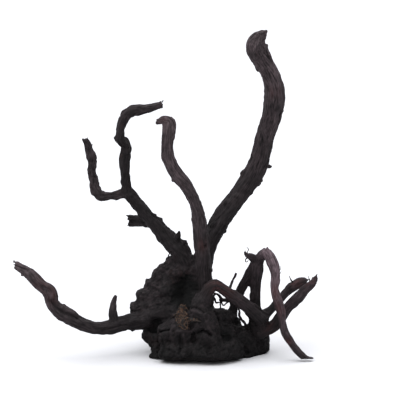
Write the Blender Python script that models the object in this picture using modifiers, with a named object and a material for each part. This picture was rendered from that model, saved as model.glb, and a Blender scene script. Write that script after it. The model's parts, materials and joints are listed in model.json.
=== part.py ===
"""Bogwood: the black stump of a root that lay in peat, with its limbs, standing on its flat foot.

The wood grew as one piece. It is modelled as one fused body and then parted at its main forks, so that
each limb is a solid of its own. The frame is in metres, +Z up, with the origin in the middle of the foot.
"""
import math

import bmesh
import bpy
import numpy as np
from mathutils import Matrix, Vector, noise

MM = 0.001
LOOK_DOWN = math.radians(14)  # the front view that the heart lines are measured in looks down this much
FRONT_EDGE = -35  # mm, the foot's front edge, at height 0 in that view
HEART_STEP = 2.5 * MM  # spacing of the points worked out along a heart line
TUBE_SIDES = 3  # bevel resolution of a limb before it is fused
LEAST_RADIUS = 0.4 * MM  # thinnest end of a tube
WELD = 0.01 * MM  # points of a tube nearer than this become one
FUSE_GRAIN = 1.3 * MM  # voxel size in which the tubes grow together
SOFTEN_SHARE, SOFTEN_ROUNDS = 0.5, 4  # smoothing, which rounds the crotches of the forks
BODY_TRIANGLES = 7750
SAW_GAP = 0.3 * MM
SAW_SIDES = 24
BLOCK = 600 * MM  # side of the blocks that cut the foot
LIP_START = -20 * MM  # in front of this line the underside is rotted away at a slant
LIP_SLOPE = math.radians(11)
WIRE_SIDES = 1  # bevel resolution of the wiry rootlets
ROUGH_REACH = 9 * MM  # how far the stump's rough skin runs out on to a limb
RUN_APART = 40  # radii between one limb's grain and the next, so that no two limbs have the same flutes
ASLANT = (0.3, 1, 0.2)  # a direction in which no limb starts
CHUNK = 20000  # skin points compared with the heart lines at a time

# A limb's flutes and the ripples on them: how tightly they sit around it, their length in radii, and
# their depth as a share of the radius.
FLUTES = [(1.25, 5.5, 0.24), (2.6, 3.2, 0.12)]

# The stump's big and small lumps: width and height. Its round pits: spacing, radius as a share of that,
# depth.
LUMPS = [(16 * MM, 3.2 * MM), (7 * MM, 1.6 * MM)]
PIT_APART, PIT_REACH, PIT_DEPTH = 8.5 * MM, 0.45, 2.9 * MM
HOLLOW_EDGE = 1.6  # how steeply a hollow's side falls

# A lobe's neck and blunt end: how far from its middle, and how thick, both in its own radii.
LOBE_NECK, LOBE_END = (3, 1.5), (0.4, 0.7)

THORN_WAIST = 0.7  # a thorn's radius halfway, as a share of the radius at its root
THORN_POINT = 0.7 * MM
LEAST_BODY = 40  # faces: a smaller closed body is a crumb or a bubble of the fusing, and is dropped

# Where along its heart line a limb is known by, where its tip is too near another limb's wood. The parts of
# the stump are known by a place on their skin: across, up and back, in mm.
MARK_SHARES = {"arch_root": 0.65, "low_limb": 0.5, "prop_root": 0.5}
STUMP_MARKS = {"trunk": (-47.5, 95.5, 4), "root_knot": (60, 14, 4)}

# Heart lines. Each row is a point: across, up and back in the front view, and the wood's radius, in mm.
LIMBS = {
    "tall_limb": [
        (-13, 62, 12, 14.5), (-11.3, 87, 12, 12), (-7.2, 107, 14, 10.4), (0.6, 125, 18, 10),
        (10.6, 141, 22, 9.9), (21.2, 155, 26, 9.8), (33, 172, 30, 9.5), (42, 186, 33, 9.8),
        (48.6, 200, 35, 9.8), (52.8, 215, 36, 9.9), (55.8, 228, 35, 9.7), (61, 244, 33, 10.1),
        (64.4, 258, 30, 10.1), (65, 271, 27, 10.1), (62.2, 285, 24, 9.8), (55.2, 298, 22, 9.8),
        (47.8, 309, 21, 11), (45.2, 316, 20, 10.7), (48, 323.4, 20, 7.8), (52.3, 327, 20, 4.2),
    ],
    "middle_limb": [
        (-6, 60, -8, 11), (-6, 82, -10, 8.6), (-7, 100, -12, 8), (-8.2, 117, -14, 8.1),
        (-10, 136, -17, 7.4), (-13, 152, -20, 6.6), (-17.6, 165, -23, 6.4), (-23.6, 176, -25, 6.7),
        (-31, 186, -26, 6.6), (-38, 197, -26, 6.5), (-41.6, 208, -25, 6.6), (-42.2, 220, -23, 6.3),
        (-41, 232, -21, 6.3), (-41, 238.6, -19, 6), (-45.5, 241.2, -18, 4.3), (-50, 239.2, -17, 2.8),
        (-54, 237.8, -17, 1.7),
    ],
    "left_limb": [
        (-14, 76, 4, 13), (-20.5, 93, 4, 11), (-29, 109, 5, 9.4), (-39.2, 119.8, 7, 8.8),
        (-50, 132, 9, 7.7), (-59.4, 143.3, 11, 7.3), (-67.5, 153, 12, 6.9), (-76, 162.5, 12, 6.8),
        (-83, 170, 11, 6.6),
    ],
    "knotted_arm": [
        (-83, 171, 11, 6), (-84.4, 182, 10, 5.4), (-85, 192, 9, 5.3), (-85, 200, 8, 5.8),
        (-84.2, 207, 7, 5.6), (-83.2, 213, 6, 5.2), (-85.2, 219, 4, 4.8), (-89.2, 221.5, 0, 4.8),
        (-88.8, 230, -4, 4.3), (-86.6, 239.6, -8, 5), (-82.8, 246.6, -11, 5.3),
        (-76.4, 250.8, -12, 5.3), (-68, 252, -12, 4.3), (-57, 253.4, -11, 3.9), (-47.6, 257, -9, 3.3),
    ],
    "left_finger": [
        (-83, 169.5, 11, 6), (-91, 167.3, 13, 4.4), (-102, 166, 16, 4.3), (-110.6, 167, 18, 5),
        (-115.8, 174, 19, 5.3), (-116.6, 181, 19, 4.3), (-118.4, 189, 19, 4.3), (-118.2, 197, 18, 4.4),
        (-118.2, 205, 17, 4.9), (-120.6, 212, 16, 4.4), (-122.8, 218, 15, 3.6),
        (-125.2, 222.8, 14, 2.8),
    ],
    "broken_stub": [
        (-50, 138, 12, 6.5), (-62, 140.6, 18, 4.6), (-72, 143, 24, 3.8), (-82, 144.4, 30, 3.2),
    ],
    "low_limb": [
        (-42, 48, -2, 14), (-56, 44.5, -5, 12), (-70, 40.8, -9, 9.4), (-81, 39.6, -13, 8.4),
        (-90, 37.6, -17, 8), (-100, 34.8, -21, 7.6), (-111, 33.4, -25, 6.8), (-120.5, 34.6, -28, 6.8),
        (-130, 38.2, -30, 7.2), (-140, 45, -31, 8.2), (-149.6, 50, -31, 7.6), (-157.6, 59.2, -30, 6.5),
        (-160.4, 70.4, -28, 7.4), (-170, 78.2, -26, 5.9), (-178, 87, -23, 6), (-186, 92.6, -20, 5),
        (-194.5, 97.2, -17, 4),
    ],
    "arch_root": [
        (-17, 44, -26, 9.4), (-11, 56, -30, 8.4), (-6, 66, -33, 7.2), (-0.6, 73.6, -34, 6.2),
        (5, 77, -33, 5.6), (14, 72.3, -31, 5.4), (24, 65, -28, 5.9), (35, 57.2, -25, 6.6),
        (44, 49.8, -21, 7.3), (53, 43, -15, 8.2),
    ],
    "prop_root": [
        (20, 40, 8, 6), (23.4, 53, 8, 4.6), (26.8, 63, 7, 4.4), (30.8, 71.5, 6, 4.9), (36, 81, 5, 5.3),
        (42, 91, 3, 6.2), (47, 99, 1, 6.6), (51, 105, -1, 5.2), (56.6, 110.6, -3, 4.9),
    ],
    "long_leg": [
        (56.4, 110, -4, 5.4), (61, 102.4, -9, 5.8), (64.5, 94, -13, 5.4), (65.4, 85, -17, 4.6),
        (64.6, 74.5, -21, 4.5), (66.2, 65.5, -24, 4.8), (70.2, 53, -26, 4.9), (72.4, 42, -28, 3.8),
        (75, 30, -30, 4.2), (80.6, 19.8, -31, 4.2), (88.6, 9.8, -32, 3.9), (95.8, 3.5, -32, 3.2),
        (103.6, 2.3, -32, 2.4),
    ],
    "upper_fork": [
        (51, 43.5, -4, 8), (59.5, 50, 1, 4.6), (65, 55.6, 4, 4), (70.8, 62, 8, 4.1),
        (77, 68.6, 12, 4), (83, 73.8, 15, 4.4), (89.6, 78, 18, 5), (94.4, 79.8, 20, 4.4),
        (97.6, 80.4, 21, 3),
    ],
    "lower_fork": [
        (48, 30, -10, 9), (57, 31.8, -11, 6.6), (65, 37, -12, 6.1), (73.4, 49, -12, 6),
        (81.4, 58, -12, 5.3), (89, 65, -12, 5.5), (95.6, 72.6, -11, 4.8), (102, 78, -10, 4.4),
        (106.4, 85.5, -9, 1.8),
    ],
}

# Strands that belong to one of the limbs above: the same rows, and the limb that they are part of.
STRANDS = {
    "prop_root": [
        [
            (46, 36, 2, 9), (46.2, 51, 2, 6), (45.4, 68, 2, 5.6), (45.6, 81, 2, 6.4), (47, 92, 1, 7.4),
            (47.4, 99, 1, 6.8),
        ],
        [(47, 101, 0, 5), (41.5, 104.8, -2, 4.3), (36.5, 107, -3, 2.5), (34.6, 111, -3, 0.9)],
    ],
    "low_limb": [
        [(-96, 40, -20, 5.2), (-97.4, 50, -19, 4), (-96.4, 60, -17, 2.9), (-94.2, 66.8, -15, 1.8)],
    ],
    "broken_stub": [
        [(-54, 137, 14, 5), (-64, 138, 19, 3.7), (-73, 138.2, 24, 3.1), (-81.5, 137.6, 29, 2.8)],
    ],
}

# The stump grows from thick lines, in the same rows. The foot is cut flat through the lowest of them.
STUMP_LINES = [
    [(-47, 20, -8, 19), (-20, 20, -11, 24), (5, 20, -10, 24), (30, 17, -4, 20), (45, 20, 6, 15)],
    [(-42, 32, 16, 22), (-10, 32, 20, 25), (26, 18, 18, 17)],
    [(-23, 44, 3, 28.5), (-25, 66, 5, 24), (-21, 86, 6, 17), (-14, 100, 7, 12)],
    [(0, 30, -6, 19), (13.5, 38, 2, 15), (21.5, 32, 3, 11), (31, 24, 3, 11), (48, 31, 0, 11)],
    [(-24, 56, 4, 20), (-48, 55, 2, 16), (-66, 52, 0, 12), (-73, 51, -2, 8)],
    [(-24, 72, 4, 19), (-44, 74, 4, 14), (-58, 75, 4, 7.5)],
    [(-24, 86, 4, 16), (-38, 90, 5, 12), (-46, 94, 5, 7)],
    [(-46, 22, -6, 17), (-58, 26, -9, 10), (-67.4, 27.4, -11, 4)],
    [(-50, 12, -14, 12), (-58, 14, -16, 6.5)],
    [(-48, 6, -16, 15), (-20, 3, -19, 16), (6, 3.6, -18, 16), (30, 9, -8, 16), (46, 15, 4, 14)],
    [(-52, 4, -18, 10), (-61, 3, -20, 4.4)],
    [(-48, 10, -30, 12), (-22, 10, -35, 14), (6, 10, -34, 14), (28, 13, -20, 14)],
    [(-6, 68, -31, 8.5), (-9, 58, -31, 11), (-9, 46, -31, 13.5), (-6, 32, -32, 14.5), (0, 18, -32, 15)],
    [(-47, 26, -20, 15), (-30, 28, -27, 15), (-16, 26, -30, 14)],
    [(50, 44, -13, 8.5), (50, 34, -8, 9.5), (50.5, 22, -3, 9), (52.5, 13, 2, 8.5)],
    [(37, 52.5, -5, 3.6), (42.5, 47, -3, 6), (46.5, 40, -2, 9)],
    [(-22, 46, -26, 9), (-14, 44, -28, 10), (-4, 36, -28, 9)],
    [(-12, 54, 30, 12), (-8, 36, 36, 13), (-4, 24, 34, 14)],
    [(-40, 60, 28, 12), (-44, 42, 30, 14), (-40, 18, 22, 18)],
    [(46, 30, -4, 12), (51, 24, 2, 9), (56, 14, 6, 6)],
    [(-22, 37, -34, 4), (-13, 41, -38, 4.6), (-4, 40.5, -38, 4.2), (2, 35, -35, 3.6)],
]

# Blunt lobes where the buttress broke in steps: a row for each, and the place that they all grow from.
BUTTRESS_LOBES = [
    (-77.5, 53.5, -2, 7.4), (-72.5, 65.5, 0, 7.4), (-62.5, 78, 2, 6.8), (-55.5, 87.5, 3, 7),
    (-47.5, 95.5, 4, 6.6), (-40.5, 101, 5, 6.4),
]
LOBE_ROOT = (-24, 66, 4)

# Thorns and snapped-off twiglets, which taper to a point: both ends in the same view, and the radius.
THORNS = [
    ((52, 197, 32), (61.5, 195.4, 30), 2.6), ((47, 184, 32), (51.8, 181.5, 28), 2.2),
    ((52, 322, 20), (57, 329.5, 18), 3), ((56.6, 108, -3), (57.8, 115.6, -3), 4),
    ((-19, 173, -24), (-15.6, 176.8, -26), 2.2), ((-34, 184, -26), (-37.8, 180, -28), 3.2),
    ((-33, 123, 4), (-30.6, 131, 2), 3.4), ((-56, 143, 8), (-53, 149, 8), 3.4),
    ((-28, 117, 3), (-24, 121, 1), 2.4), ((-91, 221, 0), (-95.4, 224, -2), 1.8),
    ((-119, 215, 16), (-117, 217.8, 15), 1.6), ((-125, 221, 14), (-128.3, 223.4, 13), 2),
    ((-77, 33, -12), (-78.3, 29.6, -14), 2.4), ((94, 71, -11), (102.6, 73, -13), 2),
    ((-186, 90, -20), (-188.5, 86, -22), 2.2),
]

# Wiry rootlets, in the same rows. They stay thin round wires on the stump.
ROOTLETS = [
    [
        (17, 66, -24, 2), (19, 71, -12, 1.5), (21.5, 77.5, 2, 1.4), (24, 83, 8, 1.3),
        (26.4, 88.5, 12, 1.2),
    ],
    [
        (-3, 66, -4, 1.2), (6, 68, 2, 0.9), (11, 62, 5, 0.85), (13, 56, 5, 0.8), (18, 59, 6, 0.8),
        (23, 60.5, 8, 1),
    ],
    [(10.5, 64, 3, 0.8), (10.4, 56, 4, 0.8), (10.6, 44, 4, 0.9)],
    [
        (27, 55, 2, 1.3), (29.4, 50, -1, 1.2), (29.8, 45, -3, 1.3), (32, 41, -5, 1.4),
        (35, 38, -6, 1.5), (37.5, 32, -6, 1.6),
    ],
]

# Hollows rotted out of the stump: centre in the same view, radius and depth.
HOLLOWS = [
    ((-29, 65, -16), 15, 12), ((-25, 79, -11), 11, 8), ((14, 42, -20), 9, 4), ((-52, 40, -16), 8, 3.5),
    ((30, 22, -24), 9, 3), ((-24, 18, -34), 8, 2.5), ((10, 50, 46), 12, 5), ((-30, 48, 44), 10, 4),
]

# Main forks, where a saw parts the limbs: the limb's rows, how far along its heart line, and the saw's
# reach in mm.
FORKS = [
    (LIMBS["tall_limb"], 0.24, 18), (LIMBS["middle_limb"], 0.2, 13), (LIMBS["left_limb"], 0.42, 14),
    (LIMBS["knotted_arm"], 0.11, 8.5), (LIMBS["left_finger"], 0.17, 8), (LIMBS["broken_stub"], 0.58, 9),
    (LIMBS["low_limb"], 0.24, 15), (LIMBS["arch_root"], 0.4, 9), (LIMBS["arch_root"], 0.86, 11.5),
    (LIMBS["prop_root"], 0.32, 8), (STRANDS["prop_root"][0], 0.42, 10), (LIMBS["long_leg"], 0.07, 8.5),
    (LIMBS["upper_fork"], 0.34, 9), (LIMBS["lower_fork"], 0.38, 9),
]

# Flat cuts that part the stump, where its main roots and the trunk leave it: middle and sides, in mm.
SPLITS = [((-32, 10, 76), (90, 70, 0)), ((12, 0, 24), (0, 120, 51))]

PEAT_BLACK = (0.030, 0.025, 0.026, 1.0)
PEAT_ROUGHNESS = 0.8


def placed(across, up, back):
    """A point measured in the front view, in mm, as a place in the frame, in metres."""
    height = (up - (back - FRONT_EDGE) * math.sin(LOOK_DOWN)) / math.cos(LOOK_DOWN)
    return np.array([across, back, height]) * MM


def heart_line(rows):
    """Points and radii every HEART_STEP along a smooth curve through the rows."""
    knots = np.array([[*placed(a, u, b), r * MM] for a, u, b, r in rows])
    ends = np.vstack([2 * knots[0] - knots[1], knots, 2 * knots[-1] - knots[-2]])
    line = [knots[0]]
    for before, start, end, after in zip(ends, ends[1:], ends[2:], ends[3:]):
        steps = max(1, round(np.linalg.norm(end[:3] - start[:3]) / HEART_STEP))
        for t in np.arange(1, steps + 1) / steps:
            bend = (2 * before - 5 * start + 4 * end - after) * t**2
            twist = (3 * start - before - 3 * end + after) * t**3
            line.append(start + 0.5 * ((end - before) * t + bend + twist))
    return np.array(line)


def add_spline(curve, line):
    spline = curve.splines.new("POLY")
    spline.points.add(len(line) - 1)
    for point, (x, y, z, radius) in zip(spline.points, line):
        point.co = (x, y, z, 1)
        point.radius = max(radius, LEAST_RADIUS)


def tubes(name, lines, sides):
    """A mesh of one round tapering tube for each line, with its ends closed."""
    curve = bpy.data.curves.new(name, "CURVE")
    curve.dimensions = "3D"
    curve.bevel_depth = 1.0
    curve.bevel_resolution = sides
    curve.use_fill_caps = True
    for line in lines:
        add_spline(curve, line)
    holder = bpy.data.objects.new(name, curve)
    bpy.context.scene.collection.objects.link(holder)
    mesh = evaluated_mesh(holder)
    bpy.data.objects.remove(holder)
    bm = bmesh.new()
    bm.from_mesh(mesh)
    bmesh.ops.remove_doubles(bm, verts=bm.verts, dist=WELD)
    bm.to_mesh(mesh)
    bm.free()
    return mesh


def evaluated_mesh(obj):
    graph = bpy.context.evaluated_depsgraph_get()
    return bpy.data.meshes.new_from_object(obj.evaluated_get(graph))


def modified(mesh, kind, **settings):
    """The mesh after one modifier."""
    obj = bpy.data.objects.new("work", mesh)
    bpy.context.scene.collection.objects.link(obj)
    modifier = obj.modifiers.new(kind, kind)
    for setting, value in settings.items():
        setattr(modifier, setting, value)
    result = evaluated_mesh(obj)
    bpy.data.objects.remove(obj)
    return result


def frames(line):
    """Tangent and two side directions at each point of a line, carried along it without twist."""
    tangents = np.gradient(line[:, :3], axis=0)
    tangents /= np.linalg.norm(tangents, axis=1)[:, None]
    side = np.cross(tangents[0], ASLANT)
    sides = []
    for tangent in tangents:
        side = side - tangent * (side @ tangent)
        side /= np.linalg.norm(side)
        sides.append(side)
    sides = np.array(sides)
    return tangents, sides, np.cross(tangents, sides)


def heart(lines):
    """All the lines' points in one table: place, radius, tangent, two sides, and the run in radii."""
    table = {"place": [], "radius": [], "tangent": [], "side": [], "other": [], "run": []}
    for number, line in enumerate(lines):
        tangents, sides, others = frames(line)
        steps = np.linalg.norm(np.diff(line[:, :3], axis=0), axis=1)
        table["place"].append(line[:, :3])
        table["radius"].append(line[:, 3])
        table["tangent"].append(tangents)
        table["side"].append(sides)
        table["other"].append(others)
        table["run"].append(np.concatenate([[0], np.cumsum(steps / line[1:, 3])]) + number * RUN_APART)
    return {name: np.concatenate(parts) for name, parts in table.items()}


def nearest(points, table):
    """For each point, the line point whose wood is nearest, and how far outside that wood it is."""
    found = np.empty(len(points), int)
    outside = np.empty(len(points))
    for start in range(0, len(points), CHUNK):
        chunk = points[start:start + CHUNK]
        gaps = np.linalg.norm(chunk[:, None] - table["place"][None], axis=2) - table["radius"]
        found[start:start + CHUNK] = gaps.argmin(axis=1)
        outside[start:start + CHUNK] = gaps.min(axis=1)
    return found, outside


def fluting(around, run, radius):
    """Broad flutes and swellings that follow a limb, in metres."""
    depth = 0.0
    for tightness, length, share in FLUTES:
        at = Vector((around[0] * tightness, around[1] * tightness, run / length))
        depth += share * noise.noise(at)
    return radius * depth


def gnarl(place):
    """Lumps and round pits of the stump's rotted skin, in metres."""
    lumps = sum(noise.noise(place / width) * height for width, height in LUMPS)
    pit = max(0.0, 1 - noise.voronoi(place / PIT_APART)[0][0] / PIT_REACH)
    return lumps - pit * PIT_DEPTH


def weathered(mesh, limb_lines, stump_lines):
    """Moves the skin in and out: flutes on the limbs, lumps, pits and hollows on the stump."""
    count = len(mesh.vertices)
    points = np.empty(count * 3, np.float32)
    normals = np.empty(count * 3, np.float32)
    mesh.vertices.foreach_get("co", points)
    mesh.vertex_normals.foreach_get("vector", normals)
    points = points.reshape(-1, 3).astype(float)
    normals = normals.reshape(-1, 3).astype(float)
    limbs = heart(limb_lines)
    index, from_limb = nearest(points, limbs)
    from_stump = nearest(points, heart(stump_lines))[1]
    rough = np.clip((from_limb - from_stump) / ROUGH_REACH + 0.5, 0, 1)
    offset = points - limbs["place"][index]
    radius = limbs["radius"][index]
    around = np.stack([(offset * limbs[way][index]).sum(1) for way in ("side", "other")], axis=1)
    around /= np.maximum(np.linalg.norm(around, axis=1), 1e-6)[:, None]
    run = limbs["run"][index] + (offset * limbs["tangent"][index]).sum(1) / radius
    move = np.empty(count)
    for i, place in enumerate(points):
        smooth = fluting(around[i], run[i], radius[i]) if rough[i] < 1 else 0.0
        craggy = gnarl(Vector(place)) if rough[i] > 0 else 0.0
        move[i] = smooth * (1 - rough[i]) + craggy * rough[i]
    for centre, reach, depth in HOLLOWS:
        away = np.linalg.norm(points - placed(*centre), axis=1) / (reach * MM)
        move -= depth * MM * np.exp(-away**2 * HOLLOW_EDGE)
    points += normals * move[:, None]
    mesh.vertices.foreach_set("co", points.astype(np.float32).ravel())
    mesh.update()


def lobes():
    """Short stubs that grow out of the buttress, each a line of its own that ends blunt."""
    lines = []
    for across, up, back, radius in BUTTRESS_LOBES:
        place, size = placed(across, up, back), radius * MM
        outward = place - placed(*LOBE_ROOT)
        outward *= size / np.linalg.norm(outward)
        neck = [*(place - outward * LOBE_NECK[0]), size * LOBE_NECK[1]]
        end = [*(place + outward * LOBE_END[0]), size * LOBE_END[1]]
        lines.append(np.array([neck, [*place, size], end]))
    return lines


def thorns():
    lines = []
    for root, tip, radius in THORNS:
        start, end = placed(*root), placed(*tip)
        waist = [*(start + end) / 2, radius * THORN_WAIST * MM]
        lines.append(np.array([[*start, radius * MM], waist, [*end, THORN_POINT]]))
    return lines


def combined(mesh, operation, other):
    """The mesh cut by the other body, or grown together with it."""
    return modified(mesh, "BOOLEAN", solver="MANIFOLD", operation=operation, object=other)


def helper(name, mesh, collection):
    """An object that cuts or joins and isn't part of the wood."""
    obj = bpy.data.objects.new(name, mesh)
    obj.hide_render = True
    obj.display_type = "WIRE"
    collection.objects.link(obj)
    return obj


def primitive(make, name, collection, **shape):
    bm = bmesh.new()
    make(bm, **shape)
    mesh = bpy.data.meshes.new(name)
    bm.to_mesh(mesh)
    bm.free()
    return helper(name, mesh, collection)


def block_below(name, line, slope, collection):
    """A block below the ground whose top rises to the front from this line at this slope."""
    obj = primitive(bmesh.ops.create_cube, name, collection, size=BLOCK)
    tipped = Matrix.Translation((0, line, 0)) @ Matrix.Rotation(-slope, 4, "X")
    obj.matrix_world = tipped @ Matrix.Translation((0, 0, -BLOCK / 2))
    return obj


def saw_cut(number, rows, share, reach, collection):
    """A thin disc across a limb at its fork."""
    line = heart_line(rows)
    place = round(share * (len(line) - 1))
    disc = primitive(
        bmesh.ops.create_cone, f"saw_{number:02d}", collection,
        cap_ends=True, segments=SAW_SIDES, radius1=reach, radius2=reach, depth=SAW_GAP,
    )
    disc.location = line[place, :3]
    disc.rotation_euler = Vector(frames(line)[0][place]).to_track_quat("Z", "Y").to_euler()
    return disc


def flat_cut(number, middle, sides, collection):
    """A thin board across the stump."""
    board = primitive(bmesh.ops.create_cube, f"board_{number}", collection, size=1)
    board.location = Vector(middle) * MM
    board.scale = [max(side * MM, SAW_GAP) for side in sides]
    return board


def islands(mesh):
    """The mesh's separate closed bodies, as lists of face numbers."""
    bm = bmesh.new()
    bm.from_mesh(mesh)
    bm.faces.ensure_lookup_table()
    seen = set()
    found = []
    for face in bm.faces:
        if face.index in seen:
            continue
        seen.add(face.index)
        body, front = [], [face]
        while front:
            here = front.pop()
            body.append(here.index)
            for edge in here.edges:
                for other in edge.link_faces:
                    if other.index not in seen:
                        seen.add(other.index)
                        front.append(other)
        found.append(body)
    bm.free()
    return found


def only(mesh, keep, name):
    """A new mesh with only these faces."""
    bm = bmesh.new()
    bm.from_mesh(mesh)
    keep = set(keep)
    bmesh.ops.delete(bm, geom=[f for f in bm.faces if f.index not in keep], context="FACES")
    bmesh.ops.triangulate(bm, faces=bm.faces)
    part = bpy.data.meshes.new(name)
    bm.to_mesh(part)
    bm.free()
    return part


def bogwood_material(name):
    material = bpy.data.materials.new(name)
    material.use_nodes = True
    shader = material.node_tree.nodes["Principled BSDF"]
    shader.inputs["Base Color"].default_value = PEAT_BLACK
    shader.inputs["Roughness"].default_value = PEAT_ROUGHNESS
    shader.inputs["Metallic"].default_value = 0.0
    return material


def fused_body():
    """Every limb, the stump and its knobs grown together, with weathered skin."""
    limb_lines = [heart_line(rows) for rows in LIMBS.values()]
    limb_lines += [heart_line(rows) for strands in STRANDS.values() for rows in strands]
    stump_lines = [heart_line(rows) for rows in STUMP_LINES]
    mesh = tubes("limbs", limb_lines + stump_lines + lobes() + thorns(), TUBE_SIDES)
    mesh = modified(mesh, "REMESH", mode="VOXEL", voxel_size=FUSE_GRAIN)
    mesh = modified(mesh, "SMOOTH", factor=SOFTEN_SHARE, iterations=SOFTEN_ROUNDS)
    weathered(mesh, limb_lines, stump_lines + lobes())
    triangles = 2 * len(mesh.polygons)
    return modified(mesh, "DECIMATE", ratio=BODY_TRIANGLES / triangles)


def parted(mesh, helpers):
    """The body with a flat foot and an undercut lip, its rootlets joined on and its forks sawn through."""
    mesh = combined(mesh, "DIFFERENCE", block_below("ground", 0, 0, helpers))
    mesh = combined(mesh, "DIFFERENCE", block_below("undercut", LIP_START, LIP_SLOPE, helpers))
    for number, rows in enumerate(ROOTLETS):
        wire = tubes("rootlet", [heart_line(rows)[::2]], WIRE_SIDES)
        mesh = combined(mesh, "UNION", helper(f"rootlet_{number}", wire, helpers))
    for number, (rows, share, reach) in enumerate(FORKS):
        mesh = combined(mesh, "DIFFERENCE", saw_cut(number, rows, share, reach * MM, helpers))
    for number, (middle, sides) in enumerate(SPLITS):
        mesh = combined(mesh, "DIFFERENCE", flat_cut(number, middle, sides, helpers))
    return mesh


def name_of(points):
    """Which limb a body is: the one whose mark lies in it or nearest to it."""
    reach = {name: np.linalg.norm(points - placed(*mark), axis=1).min() for name, mark in STUMP_MARKS.items()}
    for limb, rows in LIMBS.items():
        line = heart_line(rows)
        place = round(MARK_SHARES.get(limb, 1) * (len(line) - 1))
        reach[limb] = np.linalg.norm(points - line[place, :3], axis=1).min()
    return min(reach, key=reach.get)


def main():
    for obj in list(bpy.data.objects):
        bpy.data.objects.remove(obj, do_unlink=True)
    wood = bpy.data.collections.new("bogwood")
    helpers = bpy.data.collections.new("cutters")
    bpy.context.scene.collection.children.link(wood)
    bpy.context.scene.collection.children.link(helpers)
    mesh = parted(fused_body(), helpers)
    points = np.array([v.co for v in mesh.vertices])
    bodies = sorted((faces for faces in islands(mesh) if len(faces) >= LEAST_BODY), key=len, reverse=True)
    for number, faces in enumerate(bodies):
        corners = sorted({v for f in faces for v in mesh.polygons[f].vertices})
        name = name_of(points[corners]) if number else "stump"
        part = only(mesh, faces, name)
        part.materials.clear()
        part.materials.append(bogwood_material(name + "_wood"))
        part.shade_smooth()
        wood.objects.link(bpy.data.objects.new(name, part))
        print(name, len(part.polygons), "triangles")


main()
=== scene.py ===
# %% [markdown]
# Bogwood is the root stump of a tree that lay for centuries in a peat bog. The acid water dissolved the
# bark and the soft outer wood, and iron and tannin dyed what was left nearly black. This piece stands on a
# flat foot and holds up bare limbs, each thinner and more twisted than the last.
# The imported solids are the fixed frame. They say where every limb is, so they are loaded first and every
# detailed piece is then built in the place of one of them.
# %% Load the frame
import json
import math

import bmesh
import bpy
import numpy as np
from mathutils import Matrix, Vector, noise
from mathutils.bvhtree import BVHTree


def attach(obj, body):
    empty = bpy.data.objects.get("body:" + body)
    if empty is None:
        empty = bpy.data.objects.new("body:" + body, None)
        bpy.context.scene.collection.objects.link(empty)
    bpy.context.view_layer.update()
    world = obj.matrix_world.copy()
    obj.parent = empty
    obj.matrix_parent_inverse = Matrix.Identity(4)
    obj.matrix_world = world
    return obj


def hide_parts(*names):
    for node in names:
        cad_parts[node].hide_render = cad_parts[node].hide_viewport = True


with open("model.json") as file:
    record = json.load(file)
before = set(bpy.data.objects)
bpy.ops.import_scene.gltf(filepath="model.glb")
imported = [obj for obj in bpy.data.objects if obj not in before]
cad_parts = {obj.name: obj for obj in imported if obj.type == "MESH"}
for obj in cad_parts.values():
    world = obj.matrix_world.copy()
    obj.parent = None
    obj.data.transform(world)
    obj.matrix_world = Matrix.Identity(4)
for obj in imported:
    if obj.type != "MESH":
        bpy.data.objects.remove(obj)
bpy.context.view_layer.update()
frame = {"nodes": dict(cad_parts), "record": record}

# %% [markdown]
# Every size here is a real one in millimetres, because wood is measured with a rule, and Blender wants
# metres. One number does the turning. The limbs were measured as they look from the front, slightly from
# above: how far across, how far up, and how far back each bend lies. One function turns such a
# measurement into a place, so that the tables below stay readable.
# %% Measures
MM = 0.001
LOOK_DOWN = math.radians(14)
FRONT_EDGE = -35


def placed(across, up, back):
    """A point measured in the front view, in mm, as a place in the frame, in metres."""
    height = (up - (back - FRONT_EDGE) * math.sin(LOOK_DOWN)) / math.cos(LOOK_DOWN)
    return np.array([across, back, height]) * MM


print("the middle of the foot is measured at", np.round(placed(0, 8.5, 0), 4))

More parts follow.
